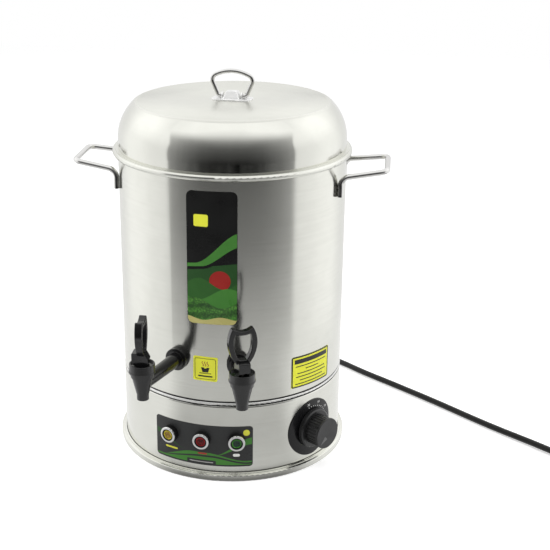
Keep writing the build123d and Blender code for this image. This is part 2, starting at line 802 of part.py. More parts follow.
def tap_lever(facing):
    """Looped lever with two horns. Its foot's underside is a cam, slotted for the stem."""
    travel = radians(lever_travel)
    cam = []
    for index in range(cam_points):
        turn = travel * index / (cam_points - 1)
        lift = pivot_height + cam_lift_per_radian * turn
        out = lift * sin(turn) + cam_lift_per_radian * cos(turn)
        up = cam_lift_per_radian * sin(turn) - lift * cos(turn)
        cam.append(Vector(0, -out, up))
    cam_ends = ((0, -1, 0), (0, -cos(travel), sin(travel)))
    foot_edges = [
        Spline(*cam, tangents=cam_ends),
        FilletPolyline(
            cam[-1],
            (0, cam[-1].Y, foot_top),
            (0, loop_thickness / 2, foot_top),
            (0, foot_heel, foot_heel_height),
            (0, foot_back, -pivot_height),
            cam[0],
            radius=foot_round,
        ),
    ]
    foot = extrude(make_face(foot_edges), amount=foot_width / 2, dir=(1, 0, 0), both=True)

    loop_low = foot_top - loop_root
    horn = horn_spread / 2
    loop_outer = [
        Line((-foot_width / 2, 0, loop_low), (foot_width / 2, 0, loop_low)),
        ThreePointArc(
            (foot_width / 2, 0, loop_low), (loop_width / 2, 0, loop_widest), (horn, 0, loop_top)
        ),
        ThreePointArc((horn, 0, loop_top), (0, 0, loop_top - horn_dip), (-horn, 0, loop_top)),
        ThreePointArc(
            (-horn, 0, loop_top), (-loop_width / 2, 0, loop_widest), (-foot_width / 2, 0, loop_low)
        ),
    ]
    eye = loop_eye_width / 2
    eye_low = loop_eye_foot / 2
    eye_high = loop_eye_top_width / 2
    loop_eye = [
        Line((-eye_low, 0, loop_eye_low), (eye_low, 0, loop_eye_low)),
        ThreePointArc((eye_low, 0, loop_eye_low), (eye, 0, loop_widest), (eye_high, 0, loop_eye_high)),
        ThreePointArc(
            (eye_high, 0, loop_eye_high),
            (0, 0, loop_eye_high - loop_eye_dip),
            (-eye_high, 0, loop_eye_high),
        ),
        ThreePointArc((-eye_high, 0, loop_eye_high), (-eye, 0, loop_widest), (-eye_low, 0, loop_eye_low)),
    ]
    loop_face = fillet(make_face(loop_outer).vertices(), horn_round)
    loop_face -= fillet(make_face(loop_eye).vertices(), loop_eye_round)
    loop = extrude(loop_face, amount=loop_thickness / 2, dir=(0, 1, 0), both=True)
    loop = fillet(loop.edges().filter_by(Axis.Y, reverse=True), loop_edge_round)

    lever = foot + loop
    slot_half = stem_diameter / 2 + lever_slot_clearance
    slot_round = slot_half + lever_slot_clearance
    slot_reach = pivot_height + cam_lift_per_radian * travel + cut_overrun
    slot_corners = [
        (0, slot_round, 0),
        (0, slot_round, -slot_reach),
        (0, -slot_reach * tan(travel / 2), -slot_reach),
        (
            0,
            -slot_round * cos(travel) - slot_reach * sin(travel),
            slot_round * sin(travel) - slot_reach * cos(travel),
        ),
        (0, -slot_round * cos(travel), slot_round * sin(travel)),
    ]
    slot_face = make_face(Polyline(*slot_corners, close=True))
    lever -= extrude(slot_face, amount=slot_half, dir=(1, 0, 0), both=True)
    lever -= Rot(0, 90, 0) * Cylinder(slot_round, 2 * slot_half)
    pin_hole = Cylinder(pivot_pin_diameter / 2 + running_clearance, foot_width + cut_overrun)
    lever -= Rot(0, 90, 0) * pin_hole
    return barrel_place * Rot(0, 0, facing) * Pos(0, 0, pivot_level) * lever


def outer_gasket():
    """Soft washer between the tap's flange and the tank wall, curved to the wall."""
    washer = rod(tap_flange, tap_flange) - rod(tap_shank + 2 * seat_clearance, tap_flange)
    washer = outward(flange_back - tap_flange, tap_height) * washer
    tank_space = Pos(0, 0, base_height) * rod(2 * (tank_radius + seat_clearance), tank_rim_height)
    return washer - tank_space


def inner_washer():
    """Soft washer inside the tank, curved to the wall."""
    washer = rod(inner_gasket, tap_flange) - rod(tap_shank + 2 * seat_clearance, tap_flange)
    washer = outward(tank_inner - gasket_thickness, tap_height) * washer
    tank_space = Pos(0, 0, base_height) * rod(2 * (tank_inner - seat_clearance), tank_rim_height)
    return washer & tank_space


def locknut():
    """Nut that clamps the tap to the wall from inside the tank."""
    nut = hexagon(locknut_flats, locknut_height)
    nut -= rod(tap_shank + 2 * seat_clearance, locknut_height)
    return outward(tank_inner - gasket_thickness - locknut_height, tap_height) * nut


outer_gaskets = []
inner_gaskets = []
locknuts = []
for name, azimuth in tap_azimuths.items():
    facing = lever_facings[name] - azimuth
    pieces[name + "_body"] = at_azimuth(azimuth, tap_body())
    pieces[name + "_bonnet"] = at_azimuth(azimuth, tap_bonnet())
    pieces[name + "_seat_cup"] = at_azimuth(azimuth, seat_cup())
    pieces[name + "_stem"] = at_azimuth(azimuth, tap_stem(facing))
    pieces[name + "_pivot_pin"] = at_azimuth(azimuth, pivot_pin(facing))
    pieces[name + "_lever"] = at_azimuth(azimuth, tap_lever(facing))
    outer_gaskets.append(at_azimuth(azimuth, outer_gasket()))
    inner_gaskets.append(at_azimuth(azimuth, inner_washer()))
    locknuts.append(at_azimuth(azimuth, locknut()))
pieces["tap_outer_gaskets"] = Compound(outer_gaskets)
pieces["tap_inner_gaskets"] = Compound(inner_gaskets)
pieces["tap_locknuts"] = Compound(locknuts)

# Tea elbow: carries tea from the brew pot's outlet to the tea tap, with a seal in its socket
elbow_path = FilletPolyline(
    (0, -shank_end, tap_height),
    (0, -outlet_from_axis, tap_height),
    (0, -outlet_from_axis, socket_floor),
    radius=elbow_bend,
)
elbow = swept(elbow_outer, elbow_path)
union_back = shank_end - (elbow_union - elbow_outer) / 2
elbow += outward(union_back, tap_height) * rod(elbow_union, elbow_union_length)
outlet_axis = Pos(0, -outlet_from_axis, 0)
socket_low = socket_floor - socket_wall
elbow += outlet_axis * Pos(0, 0, socket_low) * rod(socket_outer, socket_height)
elbow -= swept(elbow_bore, elbow_path)
union_bore = rod(tap_shank + 2 * seat_clearance, elbow_union_length)
elbow -= outward(shank_end, tap_height) * union_bore
elbow -= outlet_axis * Pos(0, 0, socket_floor) * rod(socket_outer - 2 * socket_wall, socket_height)
tea_azimuth = tap_azimuths["tea_tap"]
pieces["tea_elbow"] = at_azimuth(tea_azimuth, elbow)
seal = rod(socket_outer - 2 * socket_wall - 2 * seat_clearance, seal_height)
seal -= rod(2 * (pot_outlet_radius + running_clearance), seal_height)
pieces["tea_socket_seal"] = outlet_place * Pos(0, 0, socket_floor) * seal

# Thermostat inside the base, behind the dial plate
box_front = base_inner - thermostat_setback
body = outward(box_front - thermostat_box[2], thermostat_height) * Box(*thermostat_box, align=UP)
post_length = thermostat_setback + thermostat_post
screw_seat = box_front - screw_length + thermostat_setback
base_space = rod(2 * (base_inner - seat_clearance), base_height)
for side in (-1, 1):
    place = Pos(side * thermostat_screw_spacing / 2, 0, 0)
    post = outward(box_front - thermostat_post, thermostat_height) * place
    body += (post * rod(thermostat_post, post_length)) & base_space
    screw_bore = rod(thermostat_screw + 2 * seat_clearance, post_length + screw_length)
    body -= outward(screw_seat, thermostat_height) * place * screw_bore
shaft_low = box_front - shaft_socket
shaft_bore = rod(shaft_diameter + 2 * running_clearance, shaft_socket)
body -= outward(shaft_low, thermostat_height) * shaft_bore
pieces["thermostat_body"] = at_azimuth(thermostat_azimuth, body)

head_seat = base_radius - moving_clearance
screws = []
for side in (-1, 1):
    place = Pos(side * thermostat_screw_spacing / 2, 0, 0)
    screw = outward(screw_seat, thermostat_height) * place * rod(thermostat_screw, head_seat - screw_seat)
    screw += outward(head_seat, thermostat_height) * place * rod(screw_head, screw_head_height)
    screws.append(at_azimuth(thermostat_azimuth, screw))
pieces["thermostat_screws"] = Compound(screws)

dial_shape = Circle(dial_diameter / 2) - Circle(thermostat_wall_hole / 2)
for side in (-1, 1):
    clear_hole = Circle(screw_head / 2 + moving_clearance)
    dial_shape -= Pos(side * thermostat_screw_spacing / 2, 0) * clear_hole
dial_inner = base_radius + seat_clearance
dial_skin = base_skin(dial_thickness)
pieces["dial_plate"] = wrapped(dial_shape, dial_skin, thermostat_azimuth, thermostat_height)

# Thermostat knob: fluted grip between a bevelled skirt and a slightly wider face
knob_back = max(dial_inner + dial_thickness, head_seat + screw_head_height) + knob_gap
shaft_end = knob_back + shaft_in_knob
shaft = outward(shaft_low, thermostat_height) * rod(shaft_diameter, shaft_end - shaft_low)
pieces["thermostat_shaft"] = at_azimuth(thermostat_azimuth, shaft)
face_back = knob_length - knob_face_thickness
knob = turned(
    (0, 0),
    (knob_skirt / 2, 0),
    (knob_skirt / 2, knob_skirt_thickness - knob_skirt_bevel),
    (knob_skirt / 2 - knob_skirt_bevel, knob_skirt_thickness),
    (knob_grip / 2, knob_skirt_thickness),
    (knob_grip / 2, face_back),
    (knob_face / 2, face_back),
    (knob_face / 2, knob_length, knob_edge_round),
    (0, knob_length),
)
flute_length = face_back - knob_skirt_thickness
for index in range(knob_flutes):
    flute = Rot(0, 0, 360 * index / knob_flutes) * Pos(knob_grip / 2, 0, knob_skirt_thickness)
    knob -= flute * rod(2 * knob_flute_radius, flute_length)
knob -= rod(shaft_diameter + 2 * seat_clearance, shaft_in_knob)
knob_place = outward(knob_back, thermostat_height)
pieces["thermostat_knob"] = at_azimuth(thermostat_azimuth, knob_place * knob)

# Thermostat probe: a bulb against the tank floor and the capillary that leads to the thermostat
bulb_height = base_height - probe_bulb / 2 - seat_clearance
box_back = box_front - thermostat_box[2]
riser_from_axis = box_back - capillary_run
probe_from_axis = riser_from_axis - capillary_bend - capillary_lead
capillary_path = FilletPolyline(
    (0, -box_back, thermostat_height),
    (0, -riser_from_axis, thermostat_height),
    (0, -riser_from_axis, bulb_height),
    (0, -probe_from_axis, bulb_height),
    radius=capillary_bend,
)
probe = swept(capillary, capillary_path)
probe += outward(probe_from_axis - probe_bulb_length, bulb_height) * rod(probe_bulb, probe_bulb_length)
pieces["thermostat_probe"] = at_azimuth(thermostat_azimuth, probe)

# Indicator lamps in the control label
lamp_back = base_radius + label_thickness + 2 * seat_clearance
lamp_front = lamp_back + lamp_body_length
label_space = rod(2 * lamp_back, base_height)
housings = []
bezels = []
lamp_nuts = []
for colour, azimuth in lamp_azimuths.items():
    housing = outward(lamp_front - 2 * lamp_body_length, lamp_height) * rod(
        lamp_diameter, 2 * lamp_body_length
    )
    housing -= label_space
    shank_back = base_radius - lamp_shank_length
    housing += outward(shank_back, lamp_height) * rod(lamp_shank, lamp_front - shank_back)
    lens_back = lamp_front - lamp_lens_depth
    housing -= outward(lens_back, lamp_height) * rod(lamp_bezel_bore, lamp_lens_depth)
    housings.append(at_azimuth(azimuth, housing))
    bezel = rod(lamp_diameter, lamp_bezel_length)
    bezel = fillet(bezel.edges().sort_by(Axis.Z)[-1:], lamp_bezel_round)
    bezel -= rod(lamp_bezel_bore, lamp_bezel_length)
    bezels.append(at_azimuth(azimuth, outward(lamp_front, lamp_height) * bezel))
    lens = rod(lamp_bezel_bore - 2 * seat_clearance, lamp_lens_depth + lamp_bezel_length / 2)
    lens = fillet(lens.edges().sort_by(Axis.Z)[-1:], lamp_lens_round)
    pieces["lamp_lens_" + colour] = at_azimuth(azimuth, outward(lens_back, lamp_height) * lens)
    nut = hexagon(lamp_nut_flats, lamp_nut_height)
    nut -= rod(lamp_shank + 2 * seat_clearance, lamp_nut_height)
    nut_corner = lamp_nut_flats / 2 / cos(pi / 6)
    nut_face = sqrt(base_inner**2 - nut_corner**2) - seat_clearance
    lamp_nuts.append(at_azimuth(azimuth, outward(nut_face - lamp_nut_height, lamp_height) * nut))
pieces["lamp_housings"] = Compound(housings)
pieces["lamp_bezels"] = Compound(bezels)
pieces["lamp_nuts"] = Compound(lamp_nuts)


def sticker(sizes, azimuth, tilt, wall_radius, wall_foot, skin, cuts=()):
    """Thin label on a round wall, from its table of sizes, with optional round holes."""
    rise, width, height, corner = sizes
    middle = wall_foot + rise + height / 2
    shape = Rot(0, 0, tilt) * RectangleRounded(chord(width, wall_radius), height, corner)
    for cut_azimuth, cut_height, cut_diameter in cuts:
        across = wall_radius * sin(radians(cut_azimuth - azimuth))
        shape -= Pos(across, cut_height - middle) * Circle(cut_diameter / 2)
    return wrapped(shape, skin, azimuth, middle)


lamp_cut = lamp_shank + 4 * lamp_hole_clearance
lamp_cuts = [(azimuth, lamp_height, lamp_cut) for azimuth in lamp_azimuths.values()]
label_skin = base_skin(label_thickness)
pieces["control_label"] = sticker(
    control_label, control_label_azimuth, 0, base_radius, 0, label_skin, lamp_cuts
)
tank_skin_inner = tank_radius + seat_clearance
tank_skin = ring(tank_skin_inner + label_thickness, tank_skin_inner, tank_foot, rim_centre_height)
pieces["front_sticker"] = sticker(
    front_sticker, front_sticker_azimuth, 0, tank_radius, base_height, tank_skin
)
pieces["square_sticker"] = sticker(
    square_sticker, square_sticker_azimuth, square_sticker_tilt, tank_radius, base_height, tank_skin
)
pieces["wide_sticker"] = sticker(
    wide_sticker, wide_sticker_azimuth, wide_sticker_tilt, tank_radius, base_height, tank_skin
)

# Terminal block on the bottom plate
terminal = Box(*terminal_box, align=UP)
for column in (-1, 0, 1):
    for row in (-1, 1):
        across = column * terminal_pitch
        along = row * terminal_box[1] / 4
        well = Pos(across, along, terminal_box[2] - terminal_screw_depth)
        terminal -= well * rod(terminal_screw, terminal_screw_depth)
pieces["terminal_block"] = Pos(terminal_place[0], terminal_place[1], plate_height) * terminal

# Cord gland: bush through the base wall with a tapered sleeve
gland = outward(base_radius, gland_height) * rod(gland_flange, gland_flange_length)
gland -= rod(2 * (base_radius + seat_clearance), base_height)
gland_tip_from_axis = base_radius + gland_flange_length + gland_length
sleeve = Cone(gland_root / 2, gland_tip / 2, gland_length, align=UP)
gland += outward(base_radius + gland_flange_length, gland_height) * sleeve
gland_inside = base_inner - gland_tail
gland += outward(gland_inside, gland_height) * rod(
    gland_hole, base_radius + gland_flange_length - gland_inside
)
pieces["cord_gland"] = at_azimuth(gland_azimuth, gland)


def cord_radii(points):
    """Largest arc that each corner's two runs leave room for."""
    radii = []
    for before, here, after in zip(points, points[1:], points[2:]):
        into = Vector(*here) - Vector(*before)
        out = Vector(*after) - Vector(*here)
        half_turn = radians(into.get_angle(out)) / 2
        shorter = min(into.length, out.length)
        radii.append(cord_bend_share * shorter / tan(half_turn))
    return radii


# Power cord from the gland to the coil
gland_lead_from_axis = gland_tip_from_axis + gland_lead
cord_start = Vector(0, -gland_tip_from_axis, gland_height).rotate(Axis.Z, gland_azimuth)
cord_lead = Vector(0, -gland_lead_from_axis, gland_height).rotate(Axis.Z, gland_azimuth)
coil_low = cord_diameter / 2 + tie_clearance + tie_band
heading = Vector(cos(radians(coil_heading)), sin(radians(coil_heading)), 0)
left = Vector(-heading.Y, heading.X, 0)
cord_end = Vector(coil_entry[0], coil_entry[1], coil_low)
cord_points = [tuple(cord_start), tuple(cord_lead)] + cord_route
cord_points += [tuple(cord_end - heading * coil_lead), tuple(cord_end)]
radii = cord_radii(cord_points)
cord_path = FilletPolyline(*cord_points, radius=radii)
power_cord = swept(cord_diameter, cord_path)
pieces["power_cord"] = power_cord

# Coil of the spare cord: spirals in on the counter, climbs a layer, and spirals out on top
coil_outer_radius = coil_inner_radius + coil_pitch * coil_quarters / 4
coil_begin = cord_end + heading * cord_diameter
coil_centre = coil_begin + left * coil_outer_radius
plug_axis_height = plug_radius
coil_high = coil_low + coil_layer_rise


def coil_point(quarter):
    """Place and direction on the coil, counted in quarter turns from where it reverses."""
    radius = coil_inner_radius + coil_pitch * abs(quarter) / 4
    climb = min(max(quarter / coil_climb_quarters, -1), 1)
    height = (coil_low + coil_high) / 2 + climb * coil_layer_rise / 2
    if quarter == coil_quarters:
        height = plug_axis_height
    turn = radians(coil_heading) + (quarter + coil_quarters - 1) * pi / 2
    radial = Vector(cos(turn), sin(turn), 0)
    around = Vector(-sin(turn), cos(turn), 0)
    growth = coil_pitch / (2 * pi) * ((quarter > 0) - (quarter < 0))
    rise = 0
    if abs(quarter) < coil_climb_quarters:
        rise = coil_layer_rise / (2 * coil_climb_quarters) / (pi / 2)
    direction = around * radius + radial * growth + Vector(0, 0, rise)
    if abs(quarter) == coil_quarters:
        direction = around
    place = Vector(coil_centre.X, coil_centre.Y, height) + radial * radius
    return place, direction.normalized()


def biarc(start, start_direction, end, end_direction):
    """Two arcs that join two places smoothly along two directions."""
    across = end - start
    both = start_direction + end_direction
    spread = 2 * (1 - start_direction.dot(end_direction))
    along = across.dot(both)
    reach = (sqrt(along**2 + spread * across.dot(across)) - along) / spread
    first = start + start_direction * reach
    second = end - end_direction * reach
    joint = (first + second) / 2
    middle_direction = (second - first).normalized()
    return [
        TangentArc(start, joint, tangent=start_direction),
        TangentArc(joint, end, tangent=middle_direction),
    ]


coil_stops = [coil_point(quarter) for quarter in range(-coil_quarters, coil_quarters + 1)]
coil_edges = [Line(coil_stops[0][0] - heading * cord_diameter, coil_stops[0][0])]
for (start, start_direction), (end, end_direction) in zip(coil_stops, coil_stops[1:]):
    coil_edges += biarc(start, start_direction, end, end_direction)
tail_place, tail_direction = coil_stops[-1]
coil_tail = tail_place + tail_direction * cord_diameter
coil_edges.append(Line(tail_place, coil_tail))
coil_path = Wire(coil_edges)
cord_coil = swept(cord_diameter, coil_path)
pieces["cord_coil"] = cord_coil

# Cord tie: a band round the turns of the coil, where they lie in two layers
tie_inner_radius = coil_inner_radius + coil_pitch / 2 - cord_diameter / 2 - tie_clearance
tie_outer_radius = coil_inner_radius + coil_pitch * 3 / 2 + cord_diameter / 2 + tie_clearance
tie_low = coil_low - cord_diameter / 2 - tie_clearance
tie_high = coil_high + cord_diameter / 2 + tie_clearance
tie_across = tie_outer_radius - tie_inner_radius
tie_tall = tie_high - tie_low
tie_round = cord_diameter / 2 + tie_clearance
band = RectangleRounded(tie_across + 2 * tie_band, tie_tall + 2 * tie_band, tie_round + tie_band)
band -= RectangleRounded(tie_across, tie_tall, tie_round)
tie_middle = (tie_inner_radius + tie_outer_radius) / 2
tie_plane = Plane(
    origin=coil_centre + heading * tie_middle + Vector(0, 0, (tie_low + tie_high) / 2 - coil_low),
    x_dir=heading,
    z_dir=left,
)
pieces["cord_tie"] = extrude(tie_plane * band, amount=tie_band_width / 2, both=True)

# Plug: round two-pin grounded plug with its own strain relief
plug_waist = plug_relief_length + plug_waist_length
plug_face = plug_waist + plug_body_length
plug_body = turned(
    (0, 0),
    (plug_relief_tip, 0),
    (plug_waist_radius, plug_relief_length, plug_waist_length / 2),
    (plug_radius, plug_waist, plug_waist_length / 2),
    (plug_radius, plug_face, plug_face_round),
    (0, plug_face),
)
plug_place = Plane(origin=coil_tail, x_dir=(0, 0, 1), z_dir=tail_direction)
plug_pins = []
for side in (-1, 1):
    place = Pos(0, side * plug_pin_spacing / 2, plug_face - plug_pin_socket)
    plug_body -= place * rod(plug_pin_diameter + 2 * seat_clearance, plug_pin_socket)
    pin = rod(plug_pin_diameter, plug_pin_length + plug_pin_socket)
    pin = fillet(pin.edges().sort_by(Axis.Z)[-1:], plug_pin_round)
    plug_pins.append(plug_place * place * pin)
pieces["plug_body"] = plug_place * plug_body
pieces["plug_pins"] = Compound(plug_pins)

# Facts about the cord, for whoever reads the build
samples = [coil_path @ (index / (4 * coil_gap_samples)) for index in range(4 * coil_gap_samples + 1)]
near = coil_path.length / len(samples)
skip = int(2 * cord_diameter / near) + 1
gaps = [
    (samples[i] - samples[j]).length - cord_diameter
    for i in range(len(samples))
    for j in range(i + skip, len(samples))
]
tube_volume = pi * cord_diameter**2 / 4 * cord_path.length
print("cord bend radii", [round(radius, 1) for radius in radii])
print("cord tube length", round(cord_path.length, 1), "coil length", round(coil_path.length, 1))
print("cord tube volume over section times length", round(power_cord.volume / tube_volume, 5))
print("least gap of the coil to itself", round(min(gaps), 2))

os.makedirs("parts", exist_ok=True)
for name, shape in pieces.items():
    export_step(shape, "parts/" + name + ".step")
print(len(pieces), "pieces written")
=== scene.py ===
import bmesh
import bpy
from math import atan2, cos, pi, radians, sin, sqrt
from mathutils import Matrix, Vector


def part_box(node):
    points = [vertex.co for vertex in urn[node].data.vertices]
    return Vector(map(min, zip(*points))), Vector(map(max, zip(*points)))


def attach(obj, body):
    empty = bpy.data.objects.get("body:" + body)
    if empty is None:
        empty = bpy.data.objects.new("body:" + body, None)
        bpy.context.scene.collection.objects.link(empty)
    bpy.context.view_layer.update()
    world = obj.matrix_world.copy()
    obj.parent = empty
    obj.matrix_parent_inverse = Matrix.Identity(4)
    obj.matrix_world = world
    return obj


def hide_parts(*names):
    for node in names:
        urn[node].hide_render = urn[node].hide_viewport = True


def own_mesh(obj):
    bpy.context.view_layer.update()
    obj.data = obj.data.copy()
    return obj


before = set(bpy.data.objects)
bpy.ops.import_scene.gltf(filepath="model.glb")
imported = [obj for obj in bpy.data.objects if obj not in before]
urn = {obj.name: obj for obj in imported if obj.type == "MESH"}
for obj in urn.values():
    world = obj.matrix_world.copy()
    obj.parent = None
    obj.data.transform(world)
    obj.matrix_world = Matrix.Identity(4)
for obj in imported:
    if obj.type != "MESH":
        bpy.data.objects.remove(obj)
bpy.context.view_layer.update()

# Camera. The photograph was taken from a little to the right of the front and from above,
# with the urn left of the middle of the picture, so the lens is shifted sideways.
camera_distance = 1.3993
camera_height = 0.7335
camera_turn = radians(8.0)
camera_pitch = radians(20.31)
photo_focal = 1168.0
photo_width = 550.0
sensor = 36.0
axis_left_of_middle = 42.6
camera_data = bpy.data.cameras.new("photo_camera")
camera_data.sensor_width = sensor
camera_data.lens = photo_focal / photo_width * sensor
camera_data.shift_x = axis_left_of_middle / photo_width
camera = bpy.data.objects.new("photo_camera", camera_data)
camera.location = (camera_distance * sin(camera_turn), -camera_distance * cos(camera_turn), camera_height)
camera.rotation_euler = (pi / 2 - camera_pitch, 0, camera_turn)
bpy.context.scene.collection.objects.link(camera)
bpy.context.scene.camera = camera

# Power cord. A round black rubber lead leaves the back of the base through its gland, drops to the
# counter and runs off to the right. Its spare length lies in a tied coil of two layers.
cord_radius = 0.004
cord_route = [
    (0.036638, 0.172369, 0.032),
    (0.040797, 0.191932, 0.032),
    (0.0510, 0.2115, 0.0255),
    (0.0680, 0.2260, 0.0150),
    (0.0910, 0.2335, 0.0075),
    (0.1150, 0.2300, 0.0042),
    (0.1380, 0.2140, 0.0040),
    (0.1670, 0.1865, 0.0040),
    (0.2070, 0.1550, 0.0040),
    (0.2720, 0.1010, 0.0040),
    (0.3400, 0.0400, 0.0040),
]
coil_heading = radians(-41.0)
coil_entry = Vector((0.4450, -0.0480, 0.0053))
coil_lead = 0.062
coil_inner_radius = 0.0345
coil_pitch = 0.0087
coil_quarters = 7
coil_layer_rise = 0.009
coil_points_per_quarter = 4
plug_axis_height = 0.0185
ahead = Vector((cos(coil_heading), sin(coil_heading), 0))
beside = Vector((-ahead.y, ahead.x, 0))
coil_outer_radius = coil_inner_radius + coil_pitch * coil_quarters / 4
coil_start = coil_entry + ahead * (2 * cord_radius)
coil_centre = coil_start + beside * coil_outer_radius


def ease(share):
    """Smooth step from 0 to 1."""
    share = min(max(share, 0), 1)
    return share * share * (3 - 2 * share)


cord_points = [Vector(point) for point in cord_route]
cord_points.append(coil_entry - ahead * coil_lead)
cord_points.append(coil_entry - ahead * (2 * cord_radius))
half_step = pi / 4 / coil_points_per_quarter
for step in range(2 * coil_quarters * coil_points_per_quarter + 1):
    quarter = step / coil_points_per_quarter - coil_quarters
    turn = coil_heading - pi / 2 + (quarter + coil_quarters) * pi / 2
    radius = (coil_inner_radius + coil_pitch * abs(quarter) / 4) / cos(half_step)
    height = coil_entry.z + coil_layer_rise * ease((quarter + 1) / 2)
    last_quarter = ease(quarter - coil_quarters + 1)
    height += (plug_axis_height - coil_entry.z - coil_layer_rise) * last_quarter
    cord_points.append(Vector((
        coil_centre.x + radius * cos(turn),
        coil_centre.y + radius * sin(turn),
        height,
    )))
tail_turn = coil_heading - pi / 2 + 2 * coil_quarters * pi / 2
tail_side = Vector((cos(tail_turn), sin(tail_turn), 0))
tail_ahead = Vector((-sin(tail_turn), cos(tail_turn), 0))
tail_start = Vector((coil_centre.x, coil_centre.y, plug_axis_height)) + tail_side * coil_outer_radius
cord_points.append(tail_start + tail_ahead * cord_radius)
cord_points.append(tail_start + tail_ahead * (2 * cord_radius))
cord_curve = bpy.data.curves.new("power_lead", "CURVE")
cord_curve.dimensions = "3D"
cord_curve.bevel_depth = cord_radius
cord_curve.bevel_resolution = 6
cord_curve.resolution_u = 6
cord_spline = cord_curve.splines.new("NURBS")
cord_spline.points.add(len(cord_points) - 1)
for spline_point, place in zip(cord_spline.points, cord_points):
    spline_point.co = (place.x, place.y, place.z, 1)
cord_spline.order_u = 3
cord_spline.use_endpoint_u = True
power_lead = bpy.data.objects.new("power_lead", cord_curve)
bpy.context.scene.collection.objects.link(power_lead)


def start_finish(name, colour, roughness, metallic=0.0):
    """New material: its nodes, its links and the shader that the finish is built on."""
    material = bpy.data.materials.new(name)
    material.use_nodes = True
    nodes = material.node_tree.nodes
    shader = nodes["Principled BSDF"]
    shader.inputs["Base Color"].default_value = (*colour, 1)
    shader.inputs["Roughness"].default_value = roughness
    shader.inputs["Metallic"].default_value = metallic
    return material, nodes, material.node_tree.links, shader


def add_noise(nodes, links, vector, scale, detail):
    """Cloudy pattern over a place."""
    noise = nodes.new("ShaderNodeTexNoise")
    noise.inputs["Scale"].default_value = scale
    noise.inputs["Detail"].default_value = detail
    links.new(vector, noise.inputs["Vector"])
    return noise.outputs["Fac"]


def add_range(nodes, links, value, low, high, from_low=0.0, from_high=1.0, smooth=False):
    """Value carried over from one range to another."""
    ramp = nodes.new("ShaderNodeMapRange")
    ramp.interpolation_type = "SMOOTHSTEP" if smooth else "LINEAR"
    ramp.inputs["From Min"].default_value = from_low
    ramp.inputs["From Max"].default_value = from_high
    ramp.inputs["To Min"].default_value = low
    ramp.inputs["To Max"].default_value = high
    links.new(value, ramp.inputs["Value"])
    return ramp.outputs["Result"]


def add_bump(nodes, links, shader, height, strength, distance):
    """Fine relief of a surface."""
    bump = nodes.new("ShaderNodeBump")
    bump.inputs["Strength"].default_value = strength
    bump.inputs["Distance"].default_value = distance
    links.new(height, bump.inputs["Height"])
    links.new(bump.outputs["Normal"], shader.inputs["Normal"])


def add_tint(nodes, links, factor, first, second):
    """Colour between two tones."""
    tint = nodes.new("ShaderNodeMix")
    tint.data_type = "RGBA"
    tint.inputs["A"].default_value = (*first, 1)
    tint.inputs["B"].default_value = (*second, 1)
    links.new(factor, tint.inputs["Factor"])
    return tint.outputs["Result"]


def moulded(name, colour, pale, roughness, grain, bump, sheen=0.3):
    """Moulded plastic or rubber: faint mottling, uneven gloss and a fine skin."""
    material, nodes, links, shader = start_finish(name, colour, roughness)
    shader.inputs["Specular IOR Level"].default_value = sheen
    place = nodes.new("ShaderNodeTexCoord").outputs["Object"]
    mottle = add_noise(nodes, links, place, grain / 12, 3)
    skin = add_noise(nodes, links, place, grain, 2)
    skin_depth = 0.0002
    links.new(add_tint(nodes, links, mottle, colour, pale), shader.inputs["Base Color"])
    spread = roughness * 0.35
    gloss = add_range(nodes, links, mottle, roughness - spread, roughness + spread, 0.3, 0.7)
    links.new(gloss, shader.inputs["Roughness"])
    add_bump(nodes, links, shader, skin, bump, skin_depth)
    return material


def dress(material, *names):
    """Give CAD pieces their finish."""
    for name in names:
        urn[name].data.materials.clear()
        urn[name].data.materials.append(material)


cord_rubber = moulded("cord_rubber", (0.006, 0.006, 0.006), (0.011, 0.011, 0.010), 0.42, 900, 0.12)
cord_curve.materials.append(cord_rubber)
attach(power_lead, "urn")
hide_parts("power_cord", "cord_coil")

# Gland, tie and plug. The gland and the plug are moulded in the same rubber as the lead,
# the tie is a soft band round the coil, and the plug's two pins are plated brass.
dress(cord_rubber, "cord_gland", "plug_body")
dress(moulded("tie_band", (0.018, 0.018, 0.019), (0.035, 0.035, 0.035), 0.6, 1200, 0.2), "cord_tie")
for piece in (power_lead, urn["cord_tie"], urn["plug_body"], urn["plug_pins"]):
    piece.visible_glossy = False

# Base ring. A rolled band of stainless steel, seamed to a wider foot band that stands on the
# counter. The sheet is finished with a fine grain that runs round the urn.
steel_tone = (0.765, 0.767, 0.715)
steel_shade = (0.690, 0.692, 0.640)
grain_scale = 1500
grain_depth = 0.0001
grain_drift = 0.02
line_scale = 420
mottle_scale = 55
cloud_scale = 9


def add_math(nodes, links, operation, *terms):
    """Sum, product or power of sockets and plain numbers."""
    step = nodes.new("ShaderNodeMath")
    step.operation = operation
    for socket, term in zip(step.inputs, terms):
        if isinstance(term, float):
            socket.default_value = term
        else:
            links.new(term, socket)
    return step.outputs["Value"]


def add_vector(nodes, links, operation, vector, constant=None):
    """Step of a place or a direction, with a constant as its second part where one is given."""
    step = nodes.new("ShaderNodeVectorMath")
    step.operation = operation
    links.new(vector, step.inputs[0])
    if constant:
        step.inputs[1].default_value = constant
    return step


